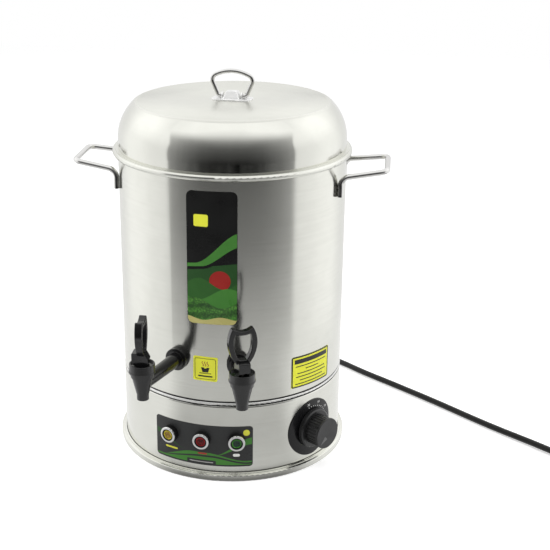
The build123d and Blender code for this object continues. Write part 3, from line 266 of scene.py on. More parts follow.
def spun_steel(name, roughness, grain_bump, line_share=0.35, rework=None):
    """Stainless sheet whose fine grain runs round the urn's axis and draws its shine out up and down.

    A rework is what is done to the spun sheet afterwards. It changes the gloss and the relief.
    """
    material, nodes, links, shader = start_finish(name, steel_tone, roughness, 1.0)
    shader.inputs["Anisotropic"].default_value = 0.55
    shader.inputs["Anisotropic Rotation"].default_value = 0.25
    round_axis = nodes.new("ShaderNodeTangent")
    round_axis.direction_type = "RADIAL"
    round_axis.axis = "Z"
    links.new(round_axis.outputs["Tangent"], shader.inputs["Tangent"])
    place = nodes.new("ShaderNodeTexCoord").outputs["Object"]
    flat = add_vector(nodes, links, "MULTIPLY", place, (1, 1, 0)).outputs["Vector"]
    from_axis = add_vector(nodes, links, "LENGTH", flat).outputs["Value"]
    parts = nodes.new("ShaderNodeSeparateXYZ")
    links.new(place, parts.inputs["Vector"])
    height = parts.outputs["Z"]
    along = nodes.new("ShaderNodeCombineXYZ")
    links.new(from_axis, along.inputs["X"])
    links.new(height, along.inputs["Z"])
    drift = add_vector(nodes, links, "MULTIPLY_ADD", place, (grain_drift, grain_drift, 0))
    links.new(along.outputs["Vector"], drift.inputs[2])
    grain = add_noise(nodes, links, drift.outputs["Vector"], grain_scale, 2)
    lines = add_noise(nodes, links, drift.outputs["Vector"], line_scale, 4)
    mottle = add_noise(nodes, links, place, mottle_scale, 3)
    shine = add_math(
        nodes, links, "ADD",
        add_range(nodes, links, lines, 0.35 - line_share / 2, 0.35 + line_share / 2, 0.30, 0.70),
        add_range(nodes, links, mottle, 0.0, 0.30, 0.30, 0.70),
    )
    links.new(add_tint(nodes, links, shine, steel_shade, steel_tone), shader.inputs["Base Color"])
    cloud = add_noise(nodes, links, place, cloud_scale, 1)
    gloss = add_range(nodes, links, cloud, roughness * 0.92, roughness * 1.1, 0.3, 0.7)
    relief = add_math(nodes, links, "MULTIPLY", grain, grain_bump * grain_depth)
    if rework:
        gloss, relief = rework(nodes, links, flat, from_axis, height, gloss, relief)
    links.new(gloss, shader.inputs["Roughness"])
    add_bump(nodes, links, shader, relief, 1.0, 1.0)
    return material


wall_steel = spun_steel("wall_steel", 0.185, 0.006)
dress(wall_steel, "base_ring")

# Bottom plate with its stud and nut. The plate closes the base from below, and one stud welded
# under the tank floor draws the plate and the tank together.
plain_steel = spun_steel("plain_steel", 0.36, 0.02)
dress(plain_steel, "bottom_plate", "tie_stud", "tie_nut")

# Tank. A rolled wall of stainless steel with a rolled rim, closed below by a flat bottom whose edge is
# beaded. The sheet has the same grain as the base. Black rings at both sides of the bead and in the
# crease over the foot are painted shade, standing in for the dark of the seam grooves.
tank_wall = 0.140
foot_step = 0.0098
seam_sides = 192
dress(wall_steel, "tank_shell")


def bright_metal(name, colour, roughness, metallic=1.0):
    """Polished or plated metal with faint smears."""
    material, nodes, links, shader = start_finish(name, colour, roughness, metallic)
    place = nodes.new("ShaderNodeTexCoord").outputs["Object"]
    smear = add_noise(nodes, links, place, 60, 4)
    gloss = add_range(nodes, links, smear, roughness * 0.6, roughness * 1.6, 0.3, 0.7)
    links.new(gloss, shader.inputs["Roughness"])
    dulled = tuple(channel * 0.88 for channel in colour)
    links.new(add_tint(nodes, links, smear, dulled, colour), shader.inputs["Base Color"])
    return material


dress(bright_metal("bead_steel", (0.82, 0.82, 0.80), 0.36, 0.6), "tank_bottom")
# Painted shade: a black finish for the rings that darken the seam grooves and the foot crease.
painted_seam_shade = moulded("painted_seam_shade", (0.004, 0.004, 0.004), (0.008, 0.008, 0.008), 0.5, 1200, 0.15)


def ring_faces(sides, count):
    """Faces of a closed ring whose section has count points, repeated at each side."""
    faces = []
    for side in range(sides):
        here = side * count
        there = (side + 1) % sides * count
        for index in range(count):
            after = (index + 1) % count
            faces.append((here + index, there + index, there + after, here + after))
    return faces


def add_piece(name, vertices, faces, material, body):
    """New piece from its mesh, carried by a body."""
    mesh = bpy.data.meshes.new(name)
    mesh.from_pydata(vertices, [], faces)
    mesh.materials.append(material)
    piece = bpy.data.objects.new(name, mesh)
    bpy.context.scene.collection.objects.link(piece)
    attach(piece, body)
    return piece


def painted_shade_ring(name, level, section):
    """Black ring of painted shade round the urn, from points so far out from the wall and up from a level."""
    vertices = []
    for side in range(seam_sides):
        turn = 2 * pi * side / seam_sides
        for out, up in section:
            radius = tank_wall + out
            vertices.append((radius * cos(turn), radius * sin(turn), level + up))
    add_piece(name, vertices, ring_faces(seam_sides, len(section)), painted_seam_shade, "urn")


# Painted shade: black rings in the grooves beside the bead and in the crease over the foot.
bead_bottom, bead_top = (corner[2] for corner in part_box("tank_bottom"))
painted_shade_ring("painted_seam_shade_top", bead_top, [
    (-0.0022, -0.0004), (-0.0007, -0.0003), (-0.00025, 0.0010), (-0.00015, 0.0021), (-0.0022, 0.0021),
])
painted_shade_ring("painted_seam_shade_low", bead_bottom, [
    (-0.0034, -0.0004), (-0.0012, -0.0008), (-0.0006, -0.0013),
    (-0.00028, -0.0010), (-0.00045, 0.0006), (-0.0034, 0.0007),
])
painted_shade_ring("painted_seam_shade_foot", foot_step, [
    (-0.0001, -0.0003), (0.0009, -0.0003), (0.00075, 0.0001), (0.00033, 0.0006), (-0.0001, 0.0006),
])

# Side handles. Each is a bright stainless rod, bent to a loop in a jig. Its two legs are turned down
# flat against the tank below the rim and spot welded there.
polished_rod = bright_metal("polished_rod", (0.74, 0.735, 0.72), 0.12)
dress(polished_rod, "side_handle_left", "side_handle_right")

# Taps. Black glossy mouldings: a body with a nozzle, a screwed bonnet and a looped lever. Soft
# washers seal them to the wall, and a steel stem carries the silicone cup that closes the nozzle.
# Each cup is welded into one piece, carried by the urn.
tap_black = moulded("tap_black", (0.0045, 0.0045, 0.0047), (0.0070, 0.0070, 0.0072), 0.19, 700, 0.03, 0.65)
matte_black = moulded("matte_black", (0.005, 0.005, 0.005), (0.009, 0.009, 0.009), 0.45, 900, 0.1)
silicone = moulded("silicone", (0.62, 0.62, 0.58), (0.72, 0.72, 0.68), 0.5, 500, 0.1)
weld_distance = 0.000001
for tap in ("tea_tap", "water_tap"):
    cup_node = tap + "_seat_cup"
    dress(tap_black, tap + "_body", tap + "_bonnet", tap + "_lever", tap + "_pivot_pin")
    dress(plain_steel, tap + "_stem")
    dress(silicone, cup_node)
    cup_shape = bmesh.new()
    cup_shape.from_mesh(urn[cup_node].data)
    bmesh.ops.remove_doubles(cup_shape, verts=cup_shape.verts, dist=weld_distance)
    cup_mesh = bpy.data.meshes.new(tap + "_soft_cup")
    cup_shape.to_mesh(cup_mesh)
    cup_shape.free()
    cup_mesh.materials.append(silicone)
    soft_cup = bpy.data.objects.new(tap + "_soft_cup", cup_mesh)
    bpy.context.scene.collection.objects.link(soft_cup)
    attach(soft_cup, "urn")
    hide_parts(cup_node)
    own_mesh(soft_cup)
dress(matte_black, "tap_locknuts", "tap_outer_gaskets")
dress(silicone, "tap_inner_gaskets")

# Control label. A dark grey film stuck round the front of the base behind the lamps, printed with
# green waves, a small bar of colour for each lamp, a yellow dot and a plain bar.
base_label_radius = 0.14056
label_azimuth = radians(-7.8)
label_middle = 0.04485
label_half_width = 0.0638
label_half_height = 0.02725
label_side_margin = 0.0008
label_top_margin = 0.0006
label_corner = 0.0035
label_end = label_half_width - 0.0012
print_low = -0.0251
print_rows = 6
print_step = 0.0015
print_film = 0.00004
label_layer = 0.00005


def add_film(piece, offset):
    """Thickness of a printed or stuck-on film."""
    film = piece.modifiers.new("film", "SOLIDIFY")
    film.thickness = print_film
    film.offset = offset


def print_on_wall(name, columns, azimuth, middle, radius, material):
    """Printed patch that follows the round wall. Each column is an arc place, a low and a high edge."""
    vertices = []
    for across, low, high in columns:
        turn = azimuth + across / radius
        for row in range(print_rows + 1):
            height = middle + low + (high - low) * row / print_rows
            vertices.append((radius * sin(turn), -radius * cos(turn), height))
    faces = []
    for column in range(len(columns) - 1):
        for row in range(print_rows):
            corner = column * (print_rows + 1) + row
            faces.append((corner, corner + print_rows + 1, corner + print_rows + 2, corner + 1))
    add_film(add_piece(name, vertices, faces, material, "urn"), -1)


def columns_between(start, end, low, high):
    """Columns of a printed patch from two edge curves."""
    count = max(6, int((end - start) / print_step))
    places = [start + (end - start) * index / count for index in range(count + 1)]
    return [(place, low(place), high(place)) for place in places]


def disc_columns(across, height, radius):
    """Columns of a round printed patch."""
    count = 28
    first_turn = 0.12
    columns = []
    for step in range(count + 1):
        turn = first_turn + (pi - 2 * first_turn) * step / count
        half = radius * sin(turn)
        columns.append((across - radius * cos(turn), height - half, height + half))
    return columns


def printed(name, colour, pale, roughness=0.38):
    """Ink or printed film."""
    return moulded(name, colour, pale, roughness, 400, 0.03)


def rounded_edge(half_width, half_height, corner):
    """Half height of a rounded rectangle at a place along its width."""
    def edge(across):
        into = abs(across) - (half_width - corner)
        if into <= 0:
            return half_height
        return half_height - corner + sqrt(max(corner * corner - into * into, 0))
    return edge


def wave(start, *swells, slope=0.0):
    """Edge of a printed band. Each swell has a height, a place where it begins and a length."""
    def edge(across):
        swell = sum(height * ease((across - begin) / length) for height, begin, length in swells)
        return start + swell + slope * across
    return edge


def label_print(name, start, end, low, high, layer, ink):
    """One printed shape of the control label, kept inside the label's rounded edge."""
    edge = rounded_edge(
        label_half_width - label_side_margin, label_half_height - label_top_margin, label_corner
    )
    columns = columns_between(
        start, end, lambda u: max(low(u), -edge(u), print_low), lambda u: min(high(u), edge(u))
    )
    film_radius = base_label_radius + layer * label_layer
    print_on_wall(name, columns, label_azimuth, label_middle, film_radius, ink)


label_grey = printed("label_grey", (0.025, 0.026, 0.026), (0.034, 0.035, 0.035), 0.34)
dress(label_grey, "control_label")
leaf_green = printed("leaf_green", (0.040, 0.17, 0.024), (0.066, 0.24, 0.036))
dark_green = printed("dark_green", (0.012, 0.055, 0.012), (0.025, 0.09, 0.02))
label_print(
    "label_wave_low", -label_end, label_end, wave(print_low),
    wave(-0.0235, (0.0135, -0.060, 0.050), (-0.0100, 0.006, 0.052)), 0, leaf_green,
)
label_print(
    "label_wave_gap", -0.058, label_end,
    wave(-0.0235, (0.0075, -0.060, 0.060), (-0.0080, 0.012, 0.046)),
    wave(-0.0225, (0.0090, -0.060, 0.060), (-0.0085, 0.012, 0.046)), 1, label_grey,
)
label_print(
    "label_wave_right", 0.014, label_end,
    wave(-0.0135, (0.0165, 0.014, 0.050)), wave(-0.0135, (0.0255, 0.014, 0.050)), 0, leaf_green,
)
label_print(
    "label_wave_left", -label_end, -0.020,
    wave(0.0040, (-0.0130, -0.0626, 0.0426)), wave(0.0105, (-0.0195, -0.0626, 0.0426)), 0, dark_green,
)
caption_inks = {"yellow": (0.68, 0.66, 0.06), "red": (0.38, 0.030, 0.028), "green": (0.80, 0.80, 0.78)}
caption_sizes = {"yellow": (0.0088, 0.0012), "red": (0.0058, 0.0011), "green": (0.0042, 0.0019)}
lamp_azimuths = {"yellow": -24.2, "red": -7.1, "green": 10.0}
caption_height = 0.0334
caption_radius = base_label_radius + 0.00012
for colour, azimuth in lamp_azimuths.items():
    ink = printed("caption_" + colour, caption_inks[colour], caption_inks[colour])
    half_width, half_height = caption_sizes[colour]
    edge = rounded_edge(half_width, half_height, half_height / 2)
    columns = columns_between(-half_width, half_width, lambda u: -edge(u), edge)
    print_on_wall(
        "lamp_caption_" + colour, columns, radians(azimuth), caption_height, caption_radius, ink
    )
bar_middle = -0.0228
bar_half_width = 0.0185
bar_half_height = 0.0027
bar_corner = 0.0006
bar_line_half_width = 0.0150
bar_edge = rounded_edge(bar_half_width, bar_half_height, bar_corner)
label_print(
    "label_bar", -bar_half_width, bar_half_width,
    lambda u: bar_middle - bar_edge(u), lambda u: bar_middle + bar_edge(u), 2, label_grey,
)
bar_pale = printed("bar_pale", (0.34, 0.34, 0.33), (0.42, 0.42, 0.41))
label_print(
    "label_bar_line", -bar_line_half_width, bar_line_half_width, wave(-0.0236), wave(-0.0224), 3, bar_pale
)
dot_radius = 0.0041
dot_place = 0.0559
dot_height = 0.0186
dot_yellow = printed("dot_yellow", (0.66, 0.66, 0.05), (0.74, 0.74, 0.07))
print_on_wall(
    "label_dot", disc_columns(dot_place, dot_height, dot_radius),
    label_azimuth, label_middle, base_label_radius + label_layer, dot_yellow,
)

# Indicator lamps. Black housings clamped through the wall, each with a bright front ring and a
# moulded lens in its own colour, stepped in rings towards the middle.
lamp_height = 0.0533
lens_front = 0.14805
lens_sides = 48
lens_slope = 0.0003
lens_root = 0.0004
lens_shade = (0.0060, 0.00764, 0.0008)
lens_steps = ((0.0045, 0.0060, 0.0006), (0.0028, 0.0037, 0.0004), (0.0010, 0.0019, 0.0004))
bright_ring = bright_metal("bright_ring", (0.86, 0.86, 0.85), 0.10)
dress(matte_black, "lamp_housings", "lamp_nuts")
dress(bright_ring, "lamp_bezels", "plug_pins")
lens_colours = {
    "yellow": ((0.17, 0.10, 0.020), (0.33, 0.22, 0.050), (0.56, 0.48, 0.020)),
    "red": ((0.030, 0.006, 0.006), (0.15, 0.012, 0.012), (0.30, 0.006, 0.008)),
    "green": ((0.010, 0.022, 0.016), (0.030, 0.060, 0.040), (0.050, 0.26, 0.024)),
}


def lens_finish(name, deep, light):
    """Clear tinted plastic with fine moulded facets."""
    material, nodes, links, shader = start_finish(name, light, 0.16)
    shader.inputs["Specular IOR Level"].default_value = 0.22
    place = nodes.new("ShaderNodeTexCoord").outputs["Object"]
    facets = add_range(nodes, links, add_noise(nodes, links, place, 520, 2), 0.0, 1.0, 0.38, 0.62)
    links.new(add_tint(nodes, links, facets, deep, light), shader.inputs["Base Color"])
    links.new(add_range(nodes, links, facets, 0.10, 0.24), shader.inputs["Roughness"])
    add_bump(nodes, links, shader, facets, 0.2, 0.0003)
    return material


def lens_ring(name, colour, inner, outer, rise, material, slot):
    """Ring with sloping sides that stands on the front of a lens and points straight out of the wall."""
    section = [
        (lens_front - lens_root, outer),
        (lens_front + rise, outer - lens_slope),
        (lens_front + rise, inner + lens_slope),
        (lens_front - lens_root, inner),
    ]
    turn = radians(lamp_azimuths[colour])
    out = Vector((sin(turn), -cos(turn), 0))
    along = Vector((cos(turn), sin(turn), 0))
    vertices = []
    for side in range(lens_sides):
        angle = 2 * pi * side / lens_sides
        spoke = along * cos(angle) + Vector((0, 0, sin(angle)))
        for depth, radius in section:
            vertices.append(out * depth + spoke * radius + Vector((0, 0, lamp_height)))
    add_piece(name, vertices, ring_faces(lens_sides, len(section)), material, "urn")


for colour, (deep, light, rim) in lens_colours.items():
    lens_tint = lens_finish("lens_" + colour, deep, light)
    rim_tint = lens_finish("lens_rim_" + colour, tuple(channel * 0.6 for channel in rim), rim)
    dress(lens_tint, "lamp_lens_" + colour)
    lens_ring("lens_shade_" + colour, colour, *lens_shade, matte_black, "black_gloss")
    for index, lens_step in enumerate(lens_steps):
        step_name = "lens_step_" + colour + "_" + str(index + 1)
        lens_ring(step_name, colour, *lens_step, lens_tint if index else rim_tint, "lens_" + colour)

# Dial plate. A thin black disc bent round the base behind the knob, printed with a scale of white
# ticks and temperatures that follows the knob's travel.
dial_azimuth = radians(52.5)
dial_height = 0.0515
dial_front = 0.14128
scale_start = radians(-12)
scale_end = radians(120)
tick_count = 17
tick_inner = 0.0276
tick_outer = 0.0288
tick_half_width = 0.0005
number_radius = 0.0326
number_size = 0.0046
dial_numbers = ("30", "50", "70", "90", "110")
dial_black = printed("dial_black", (0.005, 0.005, 0.0055), (0.008, 0.008, 0.0085), 0.22)
dress(dial_black, "dial_plate")
scale_white = printed("scale_white", (0.72, 0.72, 0.70), (0.80, 0.80, 0.78))


def dial_place(radius, turn):
    """Point on the bent dial plate, from a radius and a clock angle about the knob."""
    around = dial_azimuth + radius * sin(turn) / dial_front
    return Vector((dial_front * sin(around), -dial_front * cos(around), dial_height + radius * cos(turn)))


def scale_turn(index, count):
    """Clock angle of one of count marks along the scale."""
    return scale_start + (scale_end - scale_start) * index / (count - 1)


def flat_print(name, vertices, faces, material, body):
    """Thin printed shape from its outline."""
    add_film(add_piece(name, vertices, faces, material, body), 0)


tick_vertices = []
tick_faces = []
for index in range(tick_count):
    turn = scale_turn(index, tick_count)
    corner = len(tick_vertices)
    for radius, side in ((tick_inner, -1), (tick_inner, 1), (tick_outer, 1), (tick_outer, -1)):
        tick_vertices.append(dial_place(radius, turn + side * tick_half_width / radius))
    tick_faces.append((corner, corner + 1, corner + 2, corner + 3))
flat_print("dial_ticks", tick_vertices, tick_faces, scale_white, "urn")
number_vertices = []
number_faces = []
for index, number in enumerate(dial_numbers):
    turn = scale_turn(index, len(dial_numbers))
    lettering = bpy.data.curves.new("dial_number", "FONT")
    lettering.body = number
    lettering.size = number_size
    lettering.align_x = "CENTER"
    lettering.align_y = "CENTER"
    lettering.resolution_u = 3
    carrier = bpy.data.objects.new("dial_number", lettering)
    shape = bpy.data.meshes.new_from_object(carrier)
    corner = len(number_vertices)
    for vertex in shape.vertices:
        east = number_radius * sin(turn) + vertex.co.x
        north = number_radius * cos(turn) + vertex.co.y
        number_vertices.append(dial_place(sqrt(east * east + north * north), atan2(east, north)))
    for polygon in shape.polygons:
        number_faces.append(tuple(corner + index for index in polygon.vertices))
    bpy.data.objects.remove(carrier)
    bpy.data.curves.remove(lettering)
    bpy.data.meshes.remove(shape)
flat_print("dial_numbers", number_vertices, number_faces, scale_white, "urn")

# Thermostat knob. A black moulding with a fluted grip on a wide skirt, pushed on the thermostat's
# shaft. Its face is satin, with a pale pointer printed near the rim.
knob_front = 0.167
pointer_lift = 0.00003
pointer_corners = ((-0.0124, -0.0124), (-0.0003, -0.0074), (-0.0042, -0.0029))
knob_black = moulded("knob_black", (0.0085, 0.0085, 0.009), (0.013, 0.013, 0.0135), 0.36, 900, 0.05, 0.55)
dress(knob_black, "thermostat_knob")
pointer_grey = printed("pointer_grey", (0.10, 0.10, 0.10), (0.14, 0.14, 0.14))
knob_out = Vector((sin(dial_azimuth), -cos(dial_azimuth), 0))
knob_along = Vector((cos(dial_azimuth), sin(dial_azimuth), 0))
pointer_middle = knob_out * (knob_front + pointer_lift) + Vector((0, 0, dial_height))
pointer_vertices = []
for across, up in pointer_corners:
    pointer_vertices.append(pointer_middle + knob_along * across + Vector((0, 0, up)))
flat_print("knob_pointer", pointer_vertices, [(0, 1, 2)], pointer_grey, "thermostat_dial")

# Front sticker. A tall printed film stuck on the tank: black above, with a plain yellow tag and a green
# band that sweeps up, and below it round green hills with a red sun behind them.
tank_film = 0.14039
front_azimuth = radians(-1.8)
front_middle = 0.28575
front_half_width = 0.0298
front_half_height = 0.08075
front_corner = 0.0068
front_margin = 0.0003
front_layer = 0.00006
front_end = front_half_width - 0.0004
hill_foot = -0.0700
front_edge = rounded_edge(front_half_width - front_margin, front_half_height - front_margin, front_corner)
sticker_black = printed("sticker_black", (0.0045, 0.0047, 0.0045), (0.007, 0.0072, 0.007), 0.30)
dress(sticker_black, "front_sticker")


def meadow_print(name, colour, dark, bright):
    """Printed leaves in uneven rows."""
    material, nodes, links, shader = start_finish(name, colour, 0.36)
    place = nodes.new("ShaderNodeTexCoord").outputs["Object"]
    leaves = nodes.new("ShaderNodeTexVoronoi")
    leaves.inputs["Scale"].default_value = 420
    links.new(place, leaves.inputs["Vector"])
    between = leaves.outputs["Distance"]
    rows = nodes.new("ShaderNodeTexWave")
    rows.wave_type = "BANDS"
    rows.bands_direction = "Z"
    rows.inputs["Scale"].default_value = 26
    rows.inputs["Distortion"].default_value = 5
    rows.inputs["Detail"].default_value = 3
    links.new(place, rows.inputs["Vector"])
    shade = add_math(
        nodes, links, "MULTIPLY",
        add_range(nodes, links, between, 1.0, 0.25, 0.0, 0.7),
        add_range(nodes, links, rows.outputs["Fac"], 0.35, 1.0),
    )
    links.new(add_tint(nodes, links, shade, dark, bright), shader.inputs["Base Color"])
    links.new(add_range(nodes, links, between, 0.30, 0.44), shader.inputs["Roughness"])
    add_bump(nodes, links, shader, between, 0.04, 0.0001)
    return material


def front_print(name, low, high, layer, ink, start=-front_end, end=front_end):
    """One printed shape of the front sticker, as wide as the sticker unless its ends are given."""
    columns = columns_between(start, end, low, high)
    film_radius = tank_film + layer * front_layer
    print_on_wall(name, columns, front_azimuth, front_middle, film_radius, ink)


def hill(height, swell, crest, length):
    """Upper edge of a row of round hills."""
    return lambda across: height + swell * cos(2 * pi * (across - crest) / length)


def front_foot(across):
    """Lower edge of the front sticker."""
    return -front_edge(across)


meadow = meadow_print("meadow", (0.06, 0.20, 0.03), (0.006, 0.035, 0.006), (0.11, 0.36, 0.045))
hill_green = printed("hill_green", (0.018, 0.085, 0.014), (0.034, 0.13, 0.022))
straw = printed("straw", (0.42, 0.38, 0.12), (0.55, 0.50, 0.20))
sun_red = printed("sun_red", (0.26, 0.010, 0.008), (0.36, 0.018, 0.012), 0.30)
panel_yellow = printed("panel_yellow", (0.74, 0.75, 0.040), (0.82, 0.83, 0.055), 0.34)
front_print("front_dusk", wave(hill_foot), wave(-0.0080, slope=0.10), 1, dark_green)
front_print(
    "front_band", wave(-0.0080, (0.020, -0.012, 0.046), slope=0.10),
    wave(-0.0035, (0.032, -0.020, 0.052), slope=0.10), 3, leaf_green,
)
front_print(
    "front_band_line", wave(-0.0108, (0.018, -0.010, 0.046), slope=0.12),
    wave(-0.0078, (0.020, -0.012, 0.046), slope=0.10), 4, sticker_black,
)
sun_place = 0.0095
sun_height = -0.0265
sun_radius = 0.0125
print_on_wall(
    "front_sun", disc_columns(sun_place, sun_height, sun_radius),
    front_azimuth, front_middle, tank_film + 2 * front_layer, sun_red,
)
far_hills = hill(height=-0.0300, swell=0.0065, crest=-0.0150, length=0.058)
middle_hills = hill(height=-0.0430, swell=0.0075, crest=0.0190, length=0.074)
near_hills = hill(height=-0.0540, swell=0.0060, crest=-0.0210, length=0.066)
straw_height = -0.0735
straw_swell = 0.002
straw_ripple = 150
front_print("front_hill_far", wave(hill_foot), far_hills, 3, hill_green)
front_print("front_hill_middle", wave(hill_foot), middle_hills, 4, leaf_green)
front_print("front_hill_near", front_foot, near_hills, 5, meadow)
front_print("front_straw", front_foot, lambda u: straw_height + straw_swell * sin(straw_ripple * u), 6, straw)
tag_place = -0.0125
tag_height = 0.0460
tag_half_width = 0.0085
tag_half_height = 0.0072
tag_corner = 0.0012
tag_edge = rounded_edge(tag_half_width, tag_half_height, tag_corner)
front_print(
    "front_tag",
    lambda u: tag_height - tag_edge(u - tag_place),
    lambda u: tag_height + tag_edge(u - tag_place),
    1, panel_yellow, tag_place - tag_half_width, tag_place + tag_half_width,
)

# Yellow stickers. Two plain yellow films on the tank, a square one between the taps with a small
# steaming cup, and a wide one at the right with plain rules, each with a dark printed frame.
yellow_film = tank_film + 0.00002
dress(panel_yellow, "square_sticker", "wide_sticker")
frame_ink = printed("frame_ink", (0.020, 0.021, 0.020), (0.028, 0.029, 0.028))


def yellow_print(name, azimuth, middle, tilt, pairs, ink):
    """Printed strip between pairs of points on a yellow sticker, which follows the wall."""
    vertices = []
    for pair in pairs:
        for across, up in pair:
            turn = radians(azimuth) + across / yellow_film
            vertices.append((yellow_film * sin(turn), -yellow_film * cos(turn), middle + up + tilt * across))
    faces = [(corner, corner + 1, corner + 3, corner + 2) for corner in range(0, 2 * len(pairs) - 2, 2)]
    flat_print(name, vertices, faces, ink, "urn")


def divided(pairs):
    """The same strip with long steps divided, so that it follows the round wall."""
    fine = [pairs[0]]
    for before, after in zip(pairs, pairs[1:]):
        count = max(1, int(abs(after[0][0] - before[0][0]) / print_step))
        for step in range(1, count + 1):
            share = step / count
            fine.append(tuple(
                tuple(start + (end - start) * share for start, end in zip(first, second))
                for first, second in zip(before, after)
            ))
    return fine


def frame_pairs(half_width, half_height, corner, line):
    """Inner and outer points of a frame with round corners, closed on itself."""
    pairs = []
    corner_sides = ((1, 1), (-1, 1), (-1, -1), (1, -1))
    corner_steps = 4
    for quarter, (side_x, side_y) in enumerate(corner_sides):
        middle_x = side_x * (half_width - corner)
        middle_y = side_y * (half_height - corner)
        for step in range(corner_steps + 1):
            angle = (quarter + step / corner_steps) * pi / 2
            pairs.append(tuple(
                (middle_x + radius * cos(angle), middle_y + radius * sin(angle))
                for radius in (corner - line, corner)
            ))
    return divided(pairs + pairs[:1])


def bar_pairs(left, right, low, high):
    """Ends of a plain printed bar."""
    return divided([((left, low), (left, high)), ((right, low), (right, high))])


square_place = (-5.3, 0.1471, -0.021)
cup_brim = 0.0018
cup_half_width = 0.0052
cup_taper = 0.0018
cup_depth = 0.0062
cup_pairs = []
for drop in (0, 0.35, 0.7, 0.9, 1.0):
    half = cup_half_width - cup_taper * drop
    level = cup_brim - cup_depth * drop
    cup_pairs.append(((half, level), (-half, level)))
square_frame = frame_pairs(half_width=0.0130, half_height=0.0136, corner=0.0026, line=0.0006)
saucer = bar_pairs(left=-0.0072, right=0.0072, low=-0.0062, high=-0.0053)
caption = bar_pairs(left=-0.0088, right=0.0088, low=-0.0104, high=-0.0086)
yellow_print("square_frame", *square_place, square_frame, frame_ink)
yellow_print("square_cup", *square_place, cup_pairs, frame_ink)
yellow_print("square_saucer", *square_place, saucer, frame_ink)
yellow_print("square_caption", *square_place, caption, frame_ink)
steam_red = printed("steam_red", (0.30, 0.030, 0.040), (0.38, 0.045, 0.05))
steam_places = (-0.0030, 0.0, 0.0030)
steam_foot = 0.0034
steam_rise = 0.0062
steam_sway = 0.0009
steam_half_width = 0.0005
steam_steps = 8
for index, across in enumerate(steam_places):
    steam_pairs = []
    for step in range(steam_steps + 1):
        share = step / steam_steps
        sway = across + steam_sway * sin(2 * pi * share)
        level = steam_foot + steam_rise * share
        steam_pairs.append(((sway - steam_half_width, level), (sway + steam_half_width, level)))
    yellow_print("square_steam_" + str(index + 1), *square_place, steam_pairs, steam_red)
wide_place = (51.9, 0.1325, -0.028)
rule_halves = (0.0268, 0.0110, 0.0240, 0.0262, 0.0200, 0.0270)
rule_top = 0.0072
rule_pitch = 0.0046
rule_half_height = 0.0006
wide_frame = frame_pairs(half_width=0.0326, half_height=0.0205, corner=0.0026, line=0.0017)
header = bar_pairs(left=-0.0285, right=0.0285, low=0.0108, high=0.0166)
yellow_print("wide_frame", *wide_place, wide_frame, frame_ink)
yellow_print("wide_header", *wide_place, header, frame_ink)
for index, half in enumerate(rule_halves):
    level = rule_top - rule_pitch * index
    rule = bar_pairs(-half, half, level - rule_half_height, level + rule_half_height)
    yellow_print("wide_rule_" + str(index + 1), *wide_place, rule, frame_ink)

# Brew pot and its fittings. A thin spun pot hangs inside the tank by its flange. A strainer stands
# over its outlet, and a black elbow with a soft seal takes the tea to the left tap.
pot_steel = spun_steel("pot_steel", 0.28, 0.01)
dress(pot_steel, "brew_pot", "tea_strainer")
dress(matte_black, "tea_elbow")
dress(silicone, "tea_socket_seal")

# Lid. A dome spun from one sheet of stainless steel, with a flat top and a straight skirt that stands
# on the pot's flange. The shoulder is polished with marks across the grain, the top is left brushed.
lid_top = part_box("lid_shell")[1][2]
mark_scale = 14
mark_strength = 0.30
polish_fade_start = lid_top - 0.016
polish_fade_end = lid_top - 0.003
brushed_start = lid_top - 0.002
brushed_roughness = 0.28
crown_inner_radius = 0.055
crown_outer_radius = 0.115
crown_drop = 0.0105


def polish_lid(nodes, links, flat, from_axis, height, gloss, relief):
    """Polishing marks that fade out below the lid's top, and a duller, slightly crowned top."""
    heading = add_vector(nodes, links, "NORMALIZE", flat).outputs["Vector"]
    streaks = add_noise(nodes, links, heading, mark_scale, 1)
    marks = add_range(nodes, links, streaks, -mark_strength, mark_strength, 0.35, 0.65)
    fade = add_range(nodes, links, height, 1.0, 0.0, polish_fade_start, polish_fade_end, True)
    polish = add_math(nodes, links, "MULTIPLY_ADD", marks, fade, 1.0)
    polished = add_math(nodes, links, "MULTIPLY", gloss, polish)
    brushed = add_range(nodes, links, height, 0.0, brushed_roughness, brushed_start, lid_top)
    outward = add_range(nodes, links, from_axis, 0.0, 1.0, crown_inner_radius, crown_outer_radius)
    crown = add_math(nodes, links, "POWER", outward, 2.0)
    lid_gloss = add_math(nodes, links, "ADD", polished, brushed)
    lid_relief = add_math(nodes, links, "MULTIPLY_ADD", crown, -crown_drop, relief)
    return lid_gloss, lid_relief


lid_steel = spun_steel("lid_steel", 0.095, 0.006, 0.12, polish_lid)
dress(lid_steel, "lid_shell")

# Lid bracket and bail. A bracket stamped from sheet and plated is riveted on the lid's top, and the
# bent stainless wire that lifts the lid swings in its ears.
dress(bright_metal("bracket_plate", (0.90, 0.90, 0.89), 0.34, 0.45), "lid_bracket")
dress(polished_rod, "lid_bail")

# Inside the base. The heater with its seals and nuts, the thermostat with its probe, the cut-out under
# the tank floor and the terminal block, all hidden in use.
dress(bright_metal("heater_sheath", (0.34, 0.33, 0.32), 0.35), "heater_element")
dress(silicone, "heater_gaskets")
dress(bright_metal("nut_brass", (0.62, 0.45, 0.18), 0.28), "heater_nuts")
dress(bright_metal("probe_copper", (0.60, 0.30, 0.16), 0.26), "thermostat_probe")
dress(plain_steel, "cutout_thermostat", "thermostat_screws", "thermostat_shaft")
dress(moulded("brown_moulding", (0.07, 0.035, 0.018), (0.11, 0.055, 0.03), 0.4, 500, 0.1), "thermostat_body")
dress(moulded("white_moulding", (0.70, 0.69, 0.64), (0.78, 0.77, 0.72), 0.45, 500, 0.1), "terminal_block")
